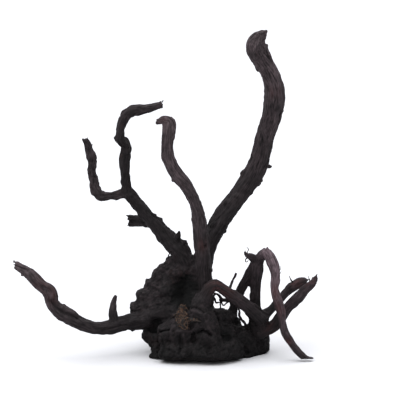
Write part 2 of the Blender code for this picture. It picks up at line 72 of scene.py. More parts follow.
# %% [markdown]
# A limb is drawn as its heart line, the pith that it grew round: a row of points, each with the radius of
# the wood there. This is how a tree grows, and it lets one table give the sweep, the taper and the swellings.
# A sculpted cage would give the same shape, but nobody could read it. The rows are the same as the solids'.
# %% Heart lines of the limbs
LIMBS = {
    "tall_limb": [
        (-13, 62, 12, 14.5), (-11.3, 87, 12, 12), (-7.2, 107, 14, 10.4), (0.6, 125, 18, 10),
        (10.6, 141, 22, 9.9), (21.2, 155, 26, 9.8), (33, 172, 30, 9.5), (42, 186, 33, 9.8),
        (48.6, 200, 35, 9.8), (52.8, 215, 36, 9.9), (55.8, 228, 35, 9.7), (61, 244, 33, 10.1),
        (64.4, 258, 30, 10.1), (65, 271, 27, 10.1), (62.2, 285, 24, 9.8), (55.2, 298, 22, 9.8),
        (47.8, 309, 21, 11), (45.2, 316, 20, 10.7), (48, 323.4, 20, 7.8), (52.3, 327, 20, 4.2),
    ],
    "middle_limb": [
        (-6, 60, -8, 11), (-6, 82, -10, 8.6), (-7, 100, -12, 8), (-8.2, 117, -14, 8.1),
        (-10, 136, -17, 7.4), (-13, 152, -20, 6.6), (-17.6, 165, -23, 6.4), (-23.6, 176, -25, 6.7),
        (-31, 186, -26, 6.6), (-38, 197, -26, 6.5), (-41.6, 208, -25, 6.6), (-42.2, 220, -23, 6.3),
        (-41, 232, -21, 6.3), (-41, 238.6, -19, 6), (-45.5, 241.2, -18, 4.3), (-50, 239.2, -17, 2.8),
        (-54, 237.8, -17, 1.7),
    ],
    "left_limb": [
        (-14, 76, 4, 13), (-20.5, 93, 4, 11), (-29, 109, 5, 9.4), (-39.2, 119.8, 7, 8.8),
        (-50, 132, 9, 7.7), (-59.4, 143.3, 11, 7.3), (-67.5, 153, 12, 6.9), (-76, 162.5, 12, 6.8),
        (-83, 170, 11, 6.6),
    ],
    "knotted_arm": [
        (-83, 171, 11, 6), (-84.4, 182, 10, 5.4), (-85, 192, 9, 5.3), (-85, 200, 8, 5.8),
        (-84.2, 207, 7, 5.6), (-83.2, 213, 6, 5.2), (-85.2, 219, 4, 4.8), (-89.2, 221.5, 0, 4.8),
        (-88.8, 230, -4, 4.3), (-86.6, 239.6, -8, 5), (-82.8, 246.6, -11, 5.3), (-76.4, 250.8, -12, 5.3),
        (-68, 252, -12, 4.3), (-57, 253.4, -11, 3.9), (-47.6, 257, -9, 3.3),
    ],
    "left_finger": [
        (-83, 169.5, 11, 6), (-91, 167.3, 13, 4.4), (-102, 166, 16, 4.3), (-110.6, 167, 18, 5),
        (-115.8, 174, 19, 5.3), (-116.6, 181, 19, 4.3), (-118.4, 189, 19, 4.3), (-118.2, 197, 18, 4.4),
        (-118.2, 205, 17, 4.9), (-120.6, 212, 16, 4.4), (-122.8, 218, 15, 3.6), (-125.2, 222.8, 14, 2.8),
    ],
    "broken_stub": [
        (-50, 138, 12, 6.5), (-62, 140.6, 18, 4.6), (-72, 143, 24, 3.8), (-82, 144.4, 30, 3.2),
    ],
    "low_limb": [
        (-42, 48, -2, 14), (-56, 44.5, -5, 12), (-70, 40.8, -9, 9.4), (-81, 39.6, -13, 8.4),
        (-90, 37.6, -17, 8), (-100, 34.8, -21, 7.6), (-111, 33.4, -25, 6.8), (-120.5, 34.6, -28, 6.8),
        (-130, 38.2, -30, 7.2), (-140, 45, -31, 8.2), (-149.6, 50, -31, 7.6), (-157.6, 59.2, -30, 6.5),
        (-160.4, 70.4, -28, 7.4), (-170, 78.2, -26, 5.9), (-178, 87, -23, 6), (-186, 92.6, -20, 5),
        (-194.5, 97.2, -17, 4),
    ],
    "arch_root": [
        (-17, 44, -26, 9.4), (-11, 56, -30, 8.4), (-6, 66, -33, 7.2), (-0.6, 73.6, -34, 6.2),
        (5, 77, -33, 5.6), (14, 72.3, -31, 5.4), (24, 65, -28, 5.9), (35, 57.2, -25, 6.6),
        (44, 49.8, -21, 7.3), (53, 43, -15, 8.2),
    ],
    "prop_root": [
        (20, 40, 8, 6), (23.4, 53, 8, 4.6), (26.8, 63, 7, 4.4), (30.8, 71.5, 6, 4.9), (36, 81, 5, 5.3),
        (42, 91, 3, 6.2), (47, 99, 1, 6.6), (51, 105, -1, 5.2), (56.6, 110.6, -3, 4.9),
    ],
    "long_leg": [
        (56.4, 110, -4, 5.4), (61, 102.4, -9, 5.8), (64.5, 94, -13, 5.4), (65.4, 85, -17, 4.6),
        (64.6, 74.5, -21, 4.5), (66.2, 65.5, -24, 4.8), (70.2, 53, -26, 4.9), (72.4, 42, -28, 3.8),
        (75, 30, -30, 4.2), (80.6, 19.8, -31, 4.2), (88.6, 9.8, -32, 3.9), (95.8, 3.5, -32, 3.2),
        (103.6, 2.3, -32, 2.4),
    ],
    "upper_fork": [
        (51, 43.5, -4, 8), (59.5, 50, 1, 4.6), (65, 55.6, 4, 4), (70.8, 62, 8, 4.1),
        (77, 68.6, 12, 4), (83, 73.8, 15, 4.4), (89.6, 78, 18, 5), (94.4, 79.8, 20, 4.4),
        (97.6, 80.4, 21, 3),
    ],
    "lower_fork": [
        (48, 30, -10, 9), (57, 31.8, -11, 6.6), (65, 37, -12, 6.1), (73.4, 49, -12, 6),
        (81.4, 58, -12, 5.3), (89, 65, -12, 5.5), (95.6, 72.6, -11, 4.8), (102, 78, -10, 4.4),
        (106.4, 85.5, -9, 1.8),
    ],
}
STRANDS = {
    "prop_root": [
        [
            (46, 36, 2, 9), (46.2, 51, 2, 6), (45.4, 68, 2, 5.6), (45.6, 81, 2, 6.4), (47, 92, 1, 7.4),
            (47.4, 99, 1, 6.8),
        ],
        [(47, 101, 0, 5), (41.5, 104.8, -2, 4.3), (36.5, 107, -3, 2.5), (34.6, 111, -3, 0.9)],
    ],
    "low_limb": [
        [(-96, 40, -20, 5.2), (-97.4, 50, -19, 4), (-96.4, 60, -17, 2.9), (-94.2, 66.8, -15, 1.8)],
    ],
    "broken_stub": [
        [(-54, 137, 14, 5), (-64, 138, 19, 3.7), (-73, 138.2, 24, 3.1), (-81.5, 137.6, 29, 2.8)],
    ],
}
print(sum(len(rows) for rows in LIMBS.values()), "measured points on", len(LIMBS), "limbs")

# %% [markdown]
# The stump is what many roots make when they grow into each other. It is drawn the same way, with thick short
# lines that overlap. Along its left edge the wood broke in steps, so lobes stand there one above the other.
# %% Heart lines of the stump
STUMP_LINES = [
    [(-47, 20, -8, 19), (-20, 20, -11, 24), (5, 20, -10, 24), (30, 17, -4, 20), (45, 20, 6, 15)],
    [(-42, 32, 16, 22), (-10, 32, 20, 25), (26, 18, 18, 17)],
    [(-23, 44, 3, 28.5), (-25, 66, 5, 24), (-21, 86, 6, 17), (-14, 100, 7, 12)],
    [(0, 30, -6, 19), (13.5, 38, 2, 15), (21.5, 32, 3, 11), (31, 24, 3, 11), (48, 31, 0, 11)],
    [(-24, 56, 4, 20), (-48, 55, 2, 16), (-66, 52, 0, 12), (-73, 51, -2, 8)],
    [(-24, 72, 4, 19), (-44, 74, 4, 14), (-58, 75, 4, 7.5)],
    [(-24, 86, 4, 16), (-38, 90, 5, 12), (-46, 94, 5, 7)],
    [(-46, 22, -6, 17), (-58, 26, -9, 10), (-67.4, 27.4, -11, 4)],
    [(-50, 12, -14, 12), (-58, 14, -16, 6.5)],
    [(-48, 6, -16, 15), (-20, 3, -19, 16), (6, 3.6, -18, 16), (30, 9, -8, 16), (46, 15, 4, 14)],
    [(-52, 4, -18, 10), (-61, 3, -20, 4.4)],
    [(-48, 10, -30, 12), (-22, 10, -35, 14), (6, 10, -34, 14), (28, 13, -20, 14)],
    [(-6, 68, -31, 8.5), (-9, 58, -31, 11), (-9, 46, -31, 13.5), (-6, 32, -32, 14.5), (0, 18, -32, 15)],
    [(-47, 26, -20, 15), (-30, 28, -27, 15), (-16, 26, -30, 14)],
    [(50, 44, -13, 8.5), (50, 34, -8, 9.5), (50.5, 22, -3, 9), (52.5, 13, 2, 8.5)],
    [(37, 52.5, -5, 3.6), (42.5, 47, -3, 6), (46.5, 40, -2, 9)],
    [(-22, 46, -26, 9), (-14, 44, -28, 10), (-4, 36, -28, 9)],
    [(-12, 54, 30, 12), (-8, 36, 36, 13), (-4, 24, 34, 14)],
    [(-40, 60, 28, 12), (-44, 42, 30, 14), (-40, 18, 22, 18)],
    [(46, 30, -4, 12), (51, 24, 2, 9), (56, 14, 6, 6)],
    [(-22, 37, -34, 4), (-13, 41, -38, 4.6), (-4, 40.5, -38, 4.2), (2, 35, -35, 3.6)],
]
BUTTRESS_LOBES = [
    (-77.5, 53.5, -2, 7.4), (-72.5, 65.5, 0, 7.4), (-62.5, 78, 2, 6.8), (-55.5, 87.5, 3, 7),
    (-47.5, 95.5, 4, 6.6), (-40.5, 101, 5, 6.4),
]
LOBE_ROOT = (-24, 66, 4)
print(len(STUMP_LINES), "stump lines and", len(BUTTRESS_LOBES), "lobes")

# %% [markdown]
# A straight line from point to point would show its corners. A Catmull-Rom curve passes through every
# measured point and turns smoothly between them, so it is worked out here at a fixed spacing, radius and all.
# A lobe needs no curve: it is a short stub that points away from the buttress's middle.
# %% Smooth heart lines
HEART_STEP = 2.0 * MM
# A lobe's points: how far out from its place, and how thick, in radii.
LOBE_SHAPE = [(-3, 1.5), (0, 1), (0.4, 0.7)]


def heart_line(rows, spacing=HEART_STEP):
    """Points and radii at this spacing along a smooth curve through the rows."""
    knots = np.array([[*placed(a, u, b), r * MM] for a, u, b, r in rows])
    ends = np.vstack([2 * knots[0] - knots[1], knots, 2 * knots[-1] - knots[-2]])
    line = [knots[0]]
    for before, start, end, after in zip(ends, ends[1:], ends[2:], ends[3:]):
        steps = max(1, round(np.linalg.norm(end[:3] - start[:3]) / spacing))
        for t in np.arange(1, steps + 1) / steps:
            bend = (2 * before - 5 * start + 4 * end - after) * t**2
            bend += (3 * start - before - 3 * end + after) * t**3
            line.append(start + 0.5 * ((end - before) * t + bend))
    return np.array(line)


def lobe_line(across, up, back, radius):
    """A short stub that grows out of the buttress and ends in a blunt lobe."""
    place, size = placed(across, up, back), radius * MM
    outward = place - placed(*LOBE_ROOT)
    outward /= np.linalg.norm(outward)
    return np.array([[*(place + outward * size * far), size * thick] for far, thick in LOBE_SHAPE])


limb_lines = [heart_line(rows) for rows in LIMBS.values()]
limb_lines += [heart_line(rows) for strands in STRANDS.values() for rows in strands]
stump_lines = [heart_line(rows) for rows in STUMP_LINES] + [lobe_line(*lobe) for lobe in BUTTRESS_LOBES]
print("heart lines have", sum(len(line) for line in limb_lines + stump_lines), "points")

# %% [markdown]
# Twiglets snapped off and left thorns, and where a limb itself broke, its long fibres tore apart into
# splinters. Both are short spikes with a thick root. They could be pieces of their own, but they are fused
# into the wood with the limbs, because they grew in it. Each row is a root, a tip and a radius.
# %% Thorns and torn ends
THORNS = [
    ((52, 197, 32), (61.5, 195.4, 30), 2.6), ((47, 184, 32), (51.8, 181.5, 28), 2.2),
    ((52, 322, 20), (57, 329.5, 18), 3), ((56.6, 108, -3), (57.8, 115.6, -3), 4),
    ((-19, 173, -24), (-15.6, 176.8, -26), 2.2), ((-34, 184, -26), (-37.8, 180, -28), 3.2),
    ((-33, 123, 4), (-30.6, 131, 2), 3.4), ((-56, 143, 8), (-53, 149, 8), 3.4),
    ((-28, 117, 3), (-24, 121, 1), 2.4), ((-91, 221, 0), (-95.4, 224, -2), 1.8),
    ((-119, 215, 16), (-117, 217.8, 15), 1.6), ((-125, 221, 14), (-128.3, 223.4, 13), 2),
    ((-77, 33, -12), (-78.3, 29.6, -14), 2.4), ((94, 71, -11), (102.6, 73, -13), 2),
    ((-186, 90, -20), (-188.5, 86, -22), 2.2),
]
TORN_ENDS = [
    ((-192, 99, -18), (-197.5, 100.6, -16), 1.8), ((-192, 94, -19), (-196.6, 93.2, -17), 1.7),
    ((-192, 96.5, -14), (-197, 97.5, -12.5), 1.6), ((-50, 259.4, -10), (-44.8, 259.6, -9), 1.7),
    ((-50, 255.4, -9), (-47, 252.8, -8.4), 1.7), ((-48, 241, -18), (-53.5, 241.8, -17), 1.5),
    ((50, 329, 20), (56.5, 330.5, 19), 2.4), ((52, 327, 22), (56.4, 326, 22), 2.2),
    ((104, 82, -10), (107.6, 88, -9), 1.3), ((101, 79, -8), (103, 85.5, -6), 1.2),
    ((-80, 145.4, 29), (-84.8, 146.8, 31), 1.5), ((-79, 137, 28), (-84, 136, 30), 1.4),
    ((-122, 221, 15), (-122.6, 226, 14), 1.4), ((97, 80.5, 21), (100.6, 83, 21), 1.5),
]
SPIKE_WAIST, SPIKE_POINT = 0.7, 0.7 * MM


def spike_line(root, tip, radius):
    """A spike from its thick root by a waist halfway to its sharp point."""
    start, end = placed(*root), placed(*tip)
    waist = [*(start + end) / 2, radius * SPIKE_WAIST * MM]
    return np.array([[*start, radius * MM], waist, [*end, SPIKE_POINT]])


spike_lines = [spike_line(*spike) for spike in THORNS + TORN_ENDS]
print(len(THORNS), "thorns and", len(TORN_ENDS), "torn ends")

# %% [markdown]
# Round tubes along the lines are the rough block. A curve object with a bevel makes them, and it takes a
# radius at every point. The other way, skinning a mesh of edges, gives less control of the thickness.
# %% Tubes along the lines
WELD = 0.01 * MM
LIMB_ROUNDNESS = 3


def linked(name, data):
    """A new object with this data, in the scene."""
    obj = bpy.data.objects.new(name, data)
    bpy.context.scene.collection.objects.link(obj)
    return obj


def evaluated_mesh(obj):
    """The mesh that the object shows after its bevel or its modifiers. The object itself goes."""
    graph = bpy.context.evaluated_depsgraph_get()
    mesh = bpy.data.meshes.new_from_object(obj.evaluated_get(graph))
    bpy.data.objects.remove(obj)
    return mesh


def tubes(name, lines, roundness):
    """A mesh of one round tapering tube for each line, with its ends closed."""
    curve = bpy.data.curves.new(name, "CURVE")
    curve.dimensions = "3D"
    curve.bevel_depth = 1.0
    curve.bevel_resolution = roundness
    curve.use_fill_caps = True
    for line in lines:
        spline = curve.splines.new("POLY")
        spline.points.add(len(line) - 1)
        for point, (x, y, z, radius) in zip(spline.points, line):
            point.co = (x, y, z, 1)
            point.radius = radius
    mesh = evaluated_mesh(linked(name, curve))
    bm = bmesh.new()
    bm.from_mesh(mesh)
    bmesh.ops.remove_doubles(bm, verts=bm.verts, dist=WELD)
    bm.to_mesh(mesh)
    bm.free()
    return mesh


wood = tubes("wood", limb_lines + stump_lines + spike_lines, LIMB_ROUNDNESS)
print("the rough tubes have", len(wood.vertices), "points")

# %% [markdown]
# A voxel remesh then melts the tubes into one skin, as the roots grew into one stump, and a little smoothing
# rounds the crotches. A Boolean union would leave sharp seams instead. Voxels of 0.8 mm are finer than a
# pixel of the picture and keep the wood under half a million triangles.
# %% One fused skin
FUSE_GRAIN = 0.8 * MM
SOFTEN_ROUNDS = 9


def modified(mesh, kind, **settings):
    """The mesh after one modifier."""
    obj = linked("work", mesh)
    modifier = obj.modifiers.new(kind, kind)
    for setting, value in settings.items():
        setattr(modifier, setting, value)
    return evaluated_mesh(obj)


wood = modified(wood, "REMESH", mode="VOXEL", voxel_size=FUSE_GRAIN)
wood = modified(wood, "SMOOTH", factor=0.5, iterations=SOFTEN_ROUNDS)
print("the fused skin has", len(wood.vertices), "points")

# %% [markdown]
# Wood is not the same in all directions: its fibres run along the limb, and every crack, rib and stain
# follows them. So each point of the skin needs to know where it lies on its limb: how far along, and where
# round the pith. Noise in plain space would be shorter to write, but it would run across the grain. So two
# side directions are carried along each heart line without twist, and a point is measured against them.
# %% Directions along a heart line
FIRST_SIDE = (0.3, 1, 0.2)
CHUNK = 40000


def frames(line):
    """Tangent and two side directions at each point of a line, carried along it without twist."""
    tangents = np.gradient(line[:, :3], axis=0)
    tangents /= np.linalg.norm(tangents, axis=1)[:, None]
    side = np.cross(tangents[0], FIRST_SIDE)
    sides = []
    for tangent in tangents:
        side = side - tangent * (side @ tangent)
        side /= np.linalg.norm(side)
        sides.append(side)
    sides = np.array(sides)
    return tangents, sides, np.cross(tangents, sides)


def gap_to(points, line):
    """For each point, which line point's wood is nearest, and how far outside that wood it is."""
    found, outside = np.empty(len(points), int), np.empty(len(points))
    heart = line[:, :3]
    for start in range(0, len(points), CHUNK):
        chunk = slice(start, start + CHUNK)
        square = (points[chunk]**2).sum(1)[:, None] + (heart**2).sum(1) - 2 * points[chunk] @ heart.T
        gaps = np.sqrt(np.maximum(square, 0)) - line[:, 3]
        found[chunk], outside[chunk] = gaps.argmin(1), gaps.min(1)
    return found, outside


print("the first limb has side directions at", len(frames(limb_lines[0])[1]), "points")

# %% [markdown]
# Where two limbs meet, a point belongs to both, so its measurements beside the nearest and the second
# nearest are kept, to blend one grain into the other. One limb's measurements start far from the next one's,
# so that no two limbs show the same pattern. A texture map would need a seam down each limb instead.
# %% The two nearest limbs
RUN_APART, LENGTH_APART = 40, 500
LEAST_SPREAD = 1e-6


def beside(points, number, line):
    """How far outside this line's wood each point is, and nine numbers for where it lies in the grain:

    around (2), along in radii, across, over and along in mm, radius, share of the line, and its number."""
    found, outside = gap_to(points, line)
    tangents, sides, others = frames(line)
    steps = np.linalg.norm(np.diff(line[:, :3], axis=0), axis=1)
    ahead = ((points - line[found, :3]) * tangents[found]).sum(1) / steps.mean()
    at = np.clip(found + np.clip(ahead, -0.5, 0.5), 0, len(line) - 1)
    low = np.minimum(at.astype(int), len(line) - 2)
    part = (at - low)[:, None]
    run = np.concatenate([[0], np.cumsum(steps / line[1:, 3])]) + number * RUN_APART
    length = np.concatenate([[0], np.cumsum(steps)]) / MM + number * LENGTH_APART
    table = np.column_stack([line, sides, others, run, length, np.linspace(0, 1, len(line))])
    table = table[low] * (1 - part) + table[low + 1] * part
    offset = points - table[:, :3]
    across, over = (offset * table[:, 4:7]).sum(1), (offset * table[:, 7:10]).sum(1)
    spread = np.maximum(np.hypot(across, over), LEAST_SPREAD)
    lie = [across / spread, over / spread, table[:, 10], across / MM, over / MM]
    numbers = np.full(len(points), number)
    return outside, np.column_stack([*lie, table[:, 11], table[:, 3], table[:, 12], numbers])


def two_nearest(points, lines):
    """Grain coordinates beside the nearest and the second nearest line, and the gaps to both."""
    gaps = np.full((2, len(points)), 1.0)
    grains = np.zeros((2, len(points), 9))
    for number, line in enumerate(lines):
        gap, grain = beside(points, number, line)
        first, second = gap < gaps[0], (gap >= gaps[0]) & (gap < gaps[1])
        gaps[1, first], grains[1, first] = gaps[0, first], grains[0, first]
        gaps[0, first], grains[0, first] = gap[first], grain[first]
        gaps[1, second], grains[1, second] = gap[second], grain[second]
    return gaps, grains


count = len(wood.vertices)
points = np.empty(count * 3, np.float32)
normals = np.empty(count * 3, np.float32)
wood.vertices.foreach_get("co", points)
wood.vertex_normals.foreach_get("vector", normals)
points, normals = points.reshape(-1, 3).astype(float), normals.reshape(-1, 3).astype(float)
gaps, grains = two_nearest(points, limb_lines)
stump_gap = np.min([gap_to(points, line)[1] for line in stump_lines], axis=0)
print("nearest limb found for", count, "points")

# %% [markdown]
# A limb's skin has relief of several sizes. Broad flutes and ripples are what is left between old side roots,
# and the gnarled arms have knuckles as well. Ribs about 4 mm apart are bundles of fibre that rotted less than
# their neighbours. Cracks are narrow and run with the grain, because drying wood only splits along its
# fibres. Sculpting all this by hand would take days. Noise drawn out along the limb gives every one of them,
# and where it crosses zero there is a thin line to cut as a crack.
# %% Relief of a limb's skin
# How gnarled a limb is, where it is more than a little, in radii.
GNARL = {"knotted_arm": 0.2, "left_finger": 0.34, "broken_stub": 0.15, "left_limb": 0.1, "low_limb": 0.1}
LEAST_GNARL = 0.06
# Heights of the broad forms in radii, and of the fine ones in mm on a limb that is THICK_LIMB mm in radius.
FLUTE, RIPPLE = 0.24, 0.12
RIB, FIBRE, CRACK, KNOB, THICK_LIMB = 0.24, 0.26, 0.7, 1.3, 8
line_limbs = [*LIMBS, *(limb for limb, strands in STRANDS.items() for _ in strands)]
gnarls = np.array([GNARL.get(limb, LEAST_GNARL) for limb in line_limbs])


def noise_at(places):
    return np.array([noise.noise(place) for place in places.tolist()])


def smooth_step(low, high, value):
    t = np.clip((value - low) / (high - low), 0, 1)
    return t * t * (3 - 2 * t)


def span(values):
    return f"from {values.min():.1f} to {values.max():.1f} mm"


def drawn_out(grain, width, run, shift=0):
    """Noise in which one step is this width across the fibres and this run along them, in mm."""
    return noise_at(np.column_stack([grain[:, 3:5] / width + shift, grain[:, 5] / run]))


def limb_relief(grain):
    """Broad shape and fine relief of a limb at these grain coordinates, both in mm."""
    around, run, radius = grain[:, :2], grain[:, 2], grain[:, 6] / MM
    flute = noise_at(np.column_stack([around * 1.25, run / 5.5]))
    ripple = noise_at(np.column_stack([around * 2.6 + (7, 0), run / 3.2]))
    knuckle = noise_at(np.column_stack([around * 1.6 - 4, grain[:, 5] / 5.5]))
    knuckle *= gnarls[grain[:, 8].astype(int)]
    thick = np.clip(radius / THICK_LIMB, 0.35, 1.2)
    rib, fibre = drawn_out(grain, 3.6, 30), drawn_out(grain, 1.3, 9, 9)
    split, knot = drawn_out(grain, 6, 60, -5), drawn_out(grain, 8, 11, 3)
    open_split = smooth_step(0.0, 0.3, drawn_out(grain, 10, 22))
    cracks = -CRACK * np.exp(-(split / 0.06)**2) * open_split
    fine = thick * (RIB * (0.3 - np.abs(rib)) + FIBRE * fibre + cracks)
    knobs = thick * KNOB * smooth_step(0.32, 0.6, knot)
    return radius * (FLUTE * flute + RIPPLE * ripple + knuckle) + knobs, fine


broad, fine = limb_relief(grains[0])
print("limb relief", span(fine))

# %% [markdown]
# At a fork the grain of one limb flows into the other. A sharp switch from one relief to the next would
# leave a step in the wood, so over a few millimetres on each side of the seam the two are blended.
# %% Blend the relief at the forks
SEAM = 4 * MM

share = smooth_step(-SEAM, SEAM, gaps[1] - gaps[0])
mixed = np.flatnonzero(share < 1)
other_broad, other_fine = limb_relief(grains[1][mixed])
broad[mixed] += (1 - share[mixed]) * (other_broad - broad[mixed])
fine[mixed] += (1 - share[mixed]) * (other_fine - fine[mixed])
print(len(mixed), "points lie at the forks")

# %% [markdown]
# The stump rotted from all sides. Lumps of two sizes stand where hard roots crossed, round pits are where
# grubs and bog water ate in, thin ledges show the layers of the wood, and the fibre that is left runs in
# slanting cords. A displacement texture could do lumps alone. In code a Voronoi pattern makes the pits,
# warped waves make the ledges, and a noise drawn out along the slant makes the cords.
# %% Relief of the stump's skin
ROUGH_REACH = 9 * MM
CORD_RUN, CORD_SIDE = np.array((0.72, 0, 0.69)), np.array((0.69, 0, -0.72))
# Heights and depths in mm, and the share of a limb's own relief that is left where it enters the stump.
LUMP, SMALL_LUMP, PIT, HOLE, LEDGE = 3.4, 1.3, 2.0, 1.1, 0.35
CORD, THREAD, GRIT = 0.75, 0.35, 0.3
GRAIN_LEFT = 0.7


def pit_at(places, reach):
    """Bowl-shaped pits: 1 at a pit's middle and 0 outside it."""
    return np.array([max(0.0, 1 - noise.voronoi(place)[0][0] / reach) for place in places.tolist()])


def stump_relief(places):
    """Broad shape and fine relief of the stump at these places, both in mm."""
    at = places / MM
    lumps = noise_at(at / 16) * LUMP + noise_at(at / 7) * SMALL_LUMP
    pits, holes = pit_at(at / 8.5, 0.45) * PIT, pit_at(at / 6 + 2, 0.3) * HOLE
    warp = noise_at(at / 18 + 4) * 12 + noise_at(at / 8 - 3) * 2
    layer = (at[:, 2] * 0.8 + at[:, 0] * 0.35 + warp) / 6.5
    ledges = LEDGE * (2 * np.abs(layer - np.round(layer)) - 0.5)
    cords = np.column_stack([at @ CORD_RUN / 9, at @ CORD_SIDE / 2.2, at[:, 1] / 2.6])
    crumbs = CORD * (0.3 - np.abs(noise_at(cords))) + THREAD * noise_at(cords * 2 + 3)
    crumbs += GRIT * noise_at(at / 3.2)
    return lumps - pits, ledges + crumbs - holes


rough = smooth_step(-0.5, 0.5, (gaps[0] - stump_gap) / ROUGH_REACH)
craggy = np.flatnonzero(rough > 0)
stump_broad, stump_fine = stump_relief(points[craggy])
broad[craggy] += rough[craggy] * (stump_broad - broad[craggy])
fine[craggy] = fine[craggy] * (1 - rough[craggy] * (1 - GRAIN_LEFT)) + rough[craggy] * stump_fine
print(len(craggy), "points on the stump, relief", span(stump_fine))

# %% [markdown]
# Some hollows are big enough to see from across a room: the dark cave between the buttress and the arching
# root, the torn mouth of the low limb, the knot holes. A Boolean would cut them with a hard rim. Each is
# instead a soft dent with a place, a reach and a depth, pushed in along the skin.
# %% Hollows and knot holes
DENT_STEEPNESS = 1.6
HOLLOWS = [
    ((-29, 65, -16), 15, 12), ((-25, 79, -11), 11, 8), ((14, 42, -20), 9, 4), ((-52, 40, -16), 8, 3.5),
    ((30, 22, -24), 9, 3), ((-24, 18, -34), 8, 2.5), ((10, 50, 46), 12, 5), ((-30, 48, 44), 10, 4),
    ((-198, 98, -16), 3.4, 6), ((-45, 259, -9), 2.6, 2.5), ((-3.5, 116, -21), 2.6, 3.2),
    ((79, 21, -35), 2.2, 1.6), ((-50, 30, -24), 7, 3), ((-84, 142, 32), 2.4, 2.5),
    ((-34, 236, -25), 2.5, 1.6), ((16, 26, -26), 8, 5), ((-56, 33, -18), 7, 3), ((-24, 67, -22), 9, 3),
]


def away_from(centre, reach):
    """How far each point is from this place, in reaches."""
    return np.linalg.norm(points - placed(*centre), axis=1) / (reach * MM)


hollow = np.zeros(count)
for centre, reach, depth in HOLLOWS:
    hollow += depth * np.exp(-away_from(centre, reach)**2 * DENT_STEEPNESS)
print(len(HOLLOWS), "hollows, up to", round(hollow.max(), 1), "mm deep")

# %% [markdown]
# Bark and side roots once pressed on the wood and left folds in it, and the two knots of the arm are folds
# as well. Noise can't put a fold where the real piece has one, so each is drawn as a line in the front view,
# and only the skin that faces the front is raised or creased along it.
# %% Folds on the front
# A fold's height in mm, below zero for a crease, its width in mm, and its line, across and up.
STUMP_FOLDS = [
    (1.8, 1.7, [(-24, 48), (-19, 51.4), (-13, 51), (-7, 46.5), (-3, 39), (0, 31)]),
    (-2.2, 1.1, [(-23, 53), (-17, 55), (-11, 53), (-6, 49.5)]),
    (2.2, 1.7, [(-33, 30), (-26, 31.4), (-19, 30.6), (-14, 33.6), (-12, 38.5)]),
    (-3.4, 1.4, [(-13, 29), (-8, 31.5), (-2, 30), (1, 27)]),
    (-3.2, 1.6, [(-66, 34), (-58, 31.5), (-50, 31), (-42, 32.5)]),
    (1.6, 2.0, [(-34, 60), (-37, 50), (-36, 40), (-39, 30), (-37, 18)]),
    (-2.4, 1.5, [(-31, 26), (-29, 17), (-31, 8)]), (1.6, 1.8, [(-26, 27), (-24, 16), (-25, 6)]),
    (-2.6, 1.8, [(6, 47), (9, 38), (8, 28), (10, 16)]), (-1.8, 1.3, [(-49, 26), (-46, 17), (-47, 7)]),
    (1.4, 1.8, [(-54, 24), (-53, 15), (-54, 6)]), (1.5, 2.0, [(20, 40), (24, 30), (23, 18)]),
]
LIMB_FOLDS = [
    (-2.6, 1.9, [(-158, 60.6), (-153, 54.5), (-146, 49.6), (-138, 46.4), (-132, 43.6)]),
    (1.5, 2.6, [(-147, 54.4), (-141, 53.6), (-135, 50.4)]),
    (-1.8, 1.2, [(-195, 96.6), (-188, 94.6), (-182, 91)]),
    (-1.1, 0.9, [(-84, 37), (-96, 34.4), (-108, 31.6)]),
    (1.2, 1.6, [(-32, 189), (-38, 199), (-41.6, 210)]),
    (-0.8, 0.8, [(-9, 140), (-12, 152), (-18, 165)]),
    (0.9, 1.4, [(45.6, 303), (44.6, 311), (48.6, 319)]),
    (-0.9, 0.9, [(49, 297), (48.4, 305), (51.6, 315)]),
    (-0.8, 0.8, [(55, 293), (52.6, 301), (54.6, 310)]),
    (-1.3, 0.9, [(-91, 220.6), (-88, 216), (-84, 213.6), (-80, 213.4)]),
    (-1.1, 0.8, [(-89, 209), (-84, 206), (-79, 208)]),
    (1.0, 1.6, [(-90, 224), (-87.4, 219.6), (-84, 218)]),
    (1.1, 1.8, [(-82.4, 216), (-80.6, 211), (-82, 207)]),
    (-1.2, 0.9, [(-124, 201.6), (-118, 200), (-113, 202)]),
    (-1.0, 0.9, [(-124, 194), (-118, 193), (-112, 190.6)]),
    (-1.0, 0.8, [(-122, 184), (-116, 185.6), (-111, 183)]),
    (-1.0, 0.8, [(-127, 214), (-121, 212), (-116, 214)]),
    (-1.6, 1.2, [(-82, 141.2), (-74, 140.8), (-66, 139.6)]),
    (-1.0, 0.9, [(-46, 137), (-52, 143), (-58, 148)]),
    (0.9, 1.4, [(-62, 131), (-70, 141), (-78, 152)]),
    (-0.9, 0.9, [(61, 246), (66, 262), (65, 276)]),
    (-0.8, 0.8, [(34, 168), (46, 190), (53, 214)]), (0.8, 1.6, [(28, 172), (40, 192), (47, 214)]),
]
FAR_OFF = 1e3

up_in_view = points[:, 2] * math.cos(LOOK_DOWN) + (points[:, 1] / MM - FRONT_EDGE) * MM * math.sin(LOOK_DOWN)
in_view = np.column_stack([points[:, 0], up_in_view]) / MM
faces_front = smooth_step(0.1, 0.5, -normals[:, 1])


def fold_depth(folds):
    """How far these folds push each point in, in mm."""
    depth = np.zeros(count)
    for height, width, route in folds:
        route = np.array(route, float)
        gap = np.full(count, FAR_OFF)
        for start, end in zip(route, route[1:]):
            way = end - start
            at = np.clip((in_view - start) @ way / (way @ way), 0, 1)
            gap = np.minimum(gap, np.linalg.norm(in_view - start - at[:, None] * way, axis=1))
        depth -= height * np.exp(-(gap / width)**2)
    return depth * faces_front


hollow += fold_depth(STUMP_FOLDS) * rough * (points[:, 1] < 0) + fold_depth(LIMB_FOLDS) * (1 - rough)
print(len(STUMP_FOLDS), "folds on the stump and", len(LIMB_FOLDS), "on the limbs")

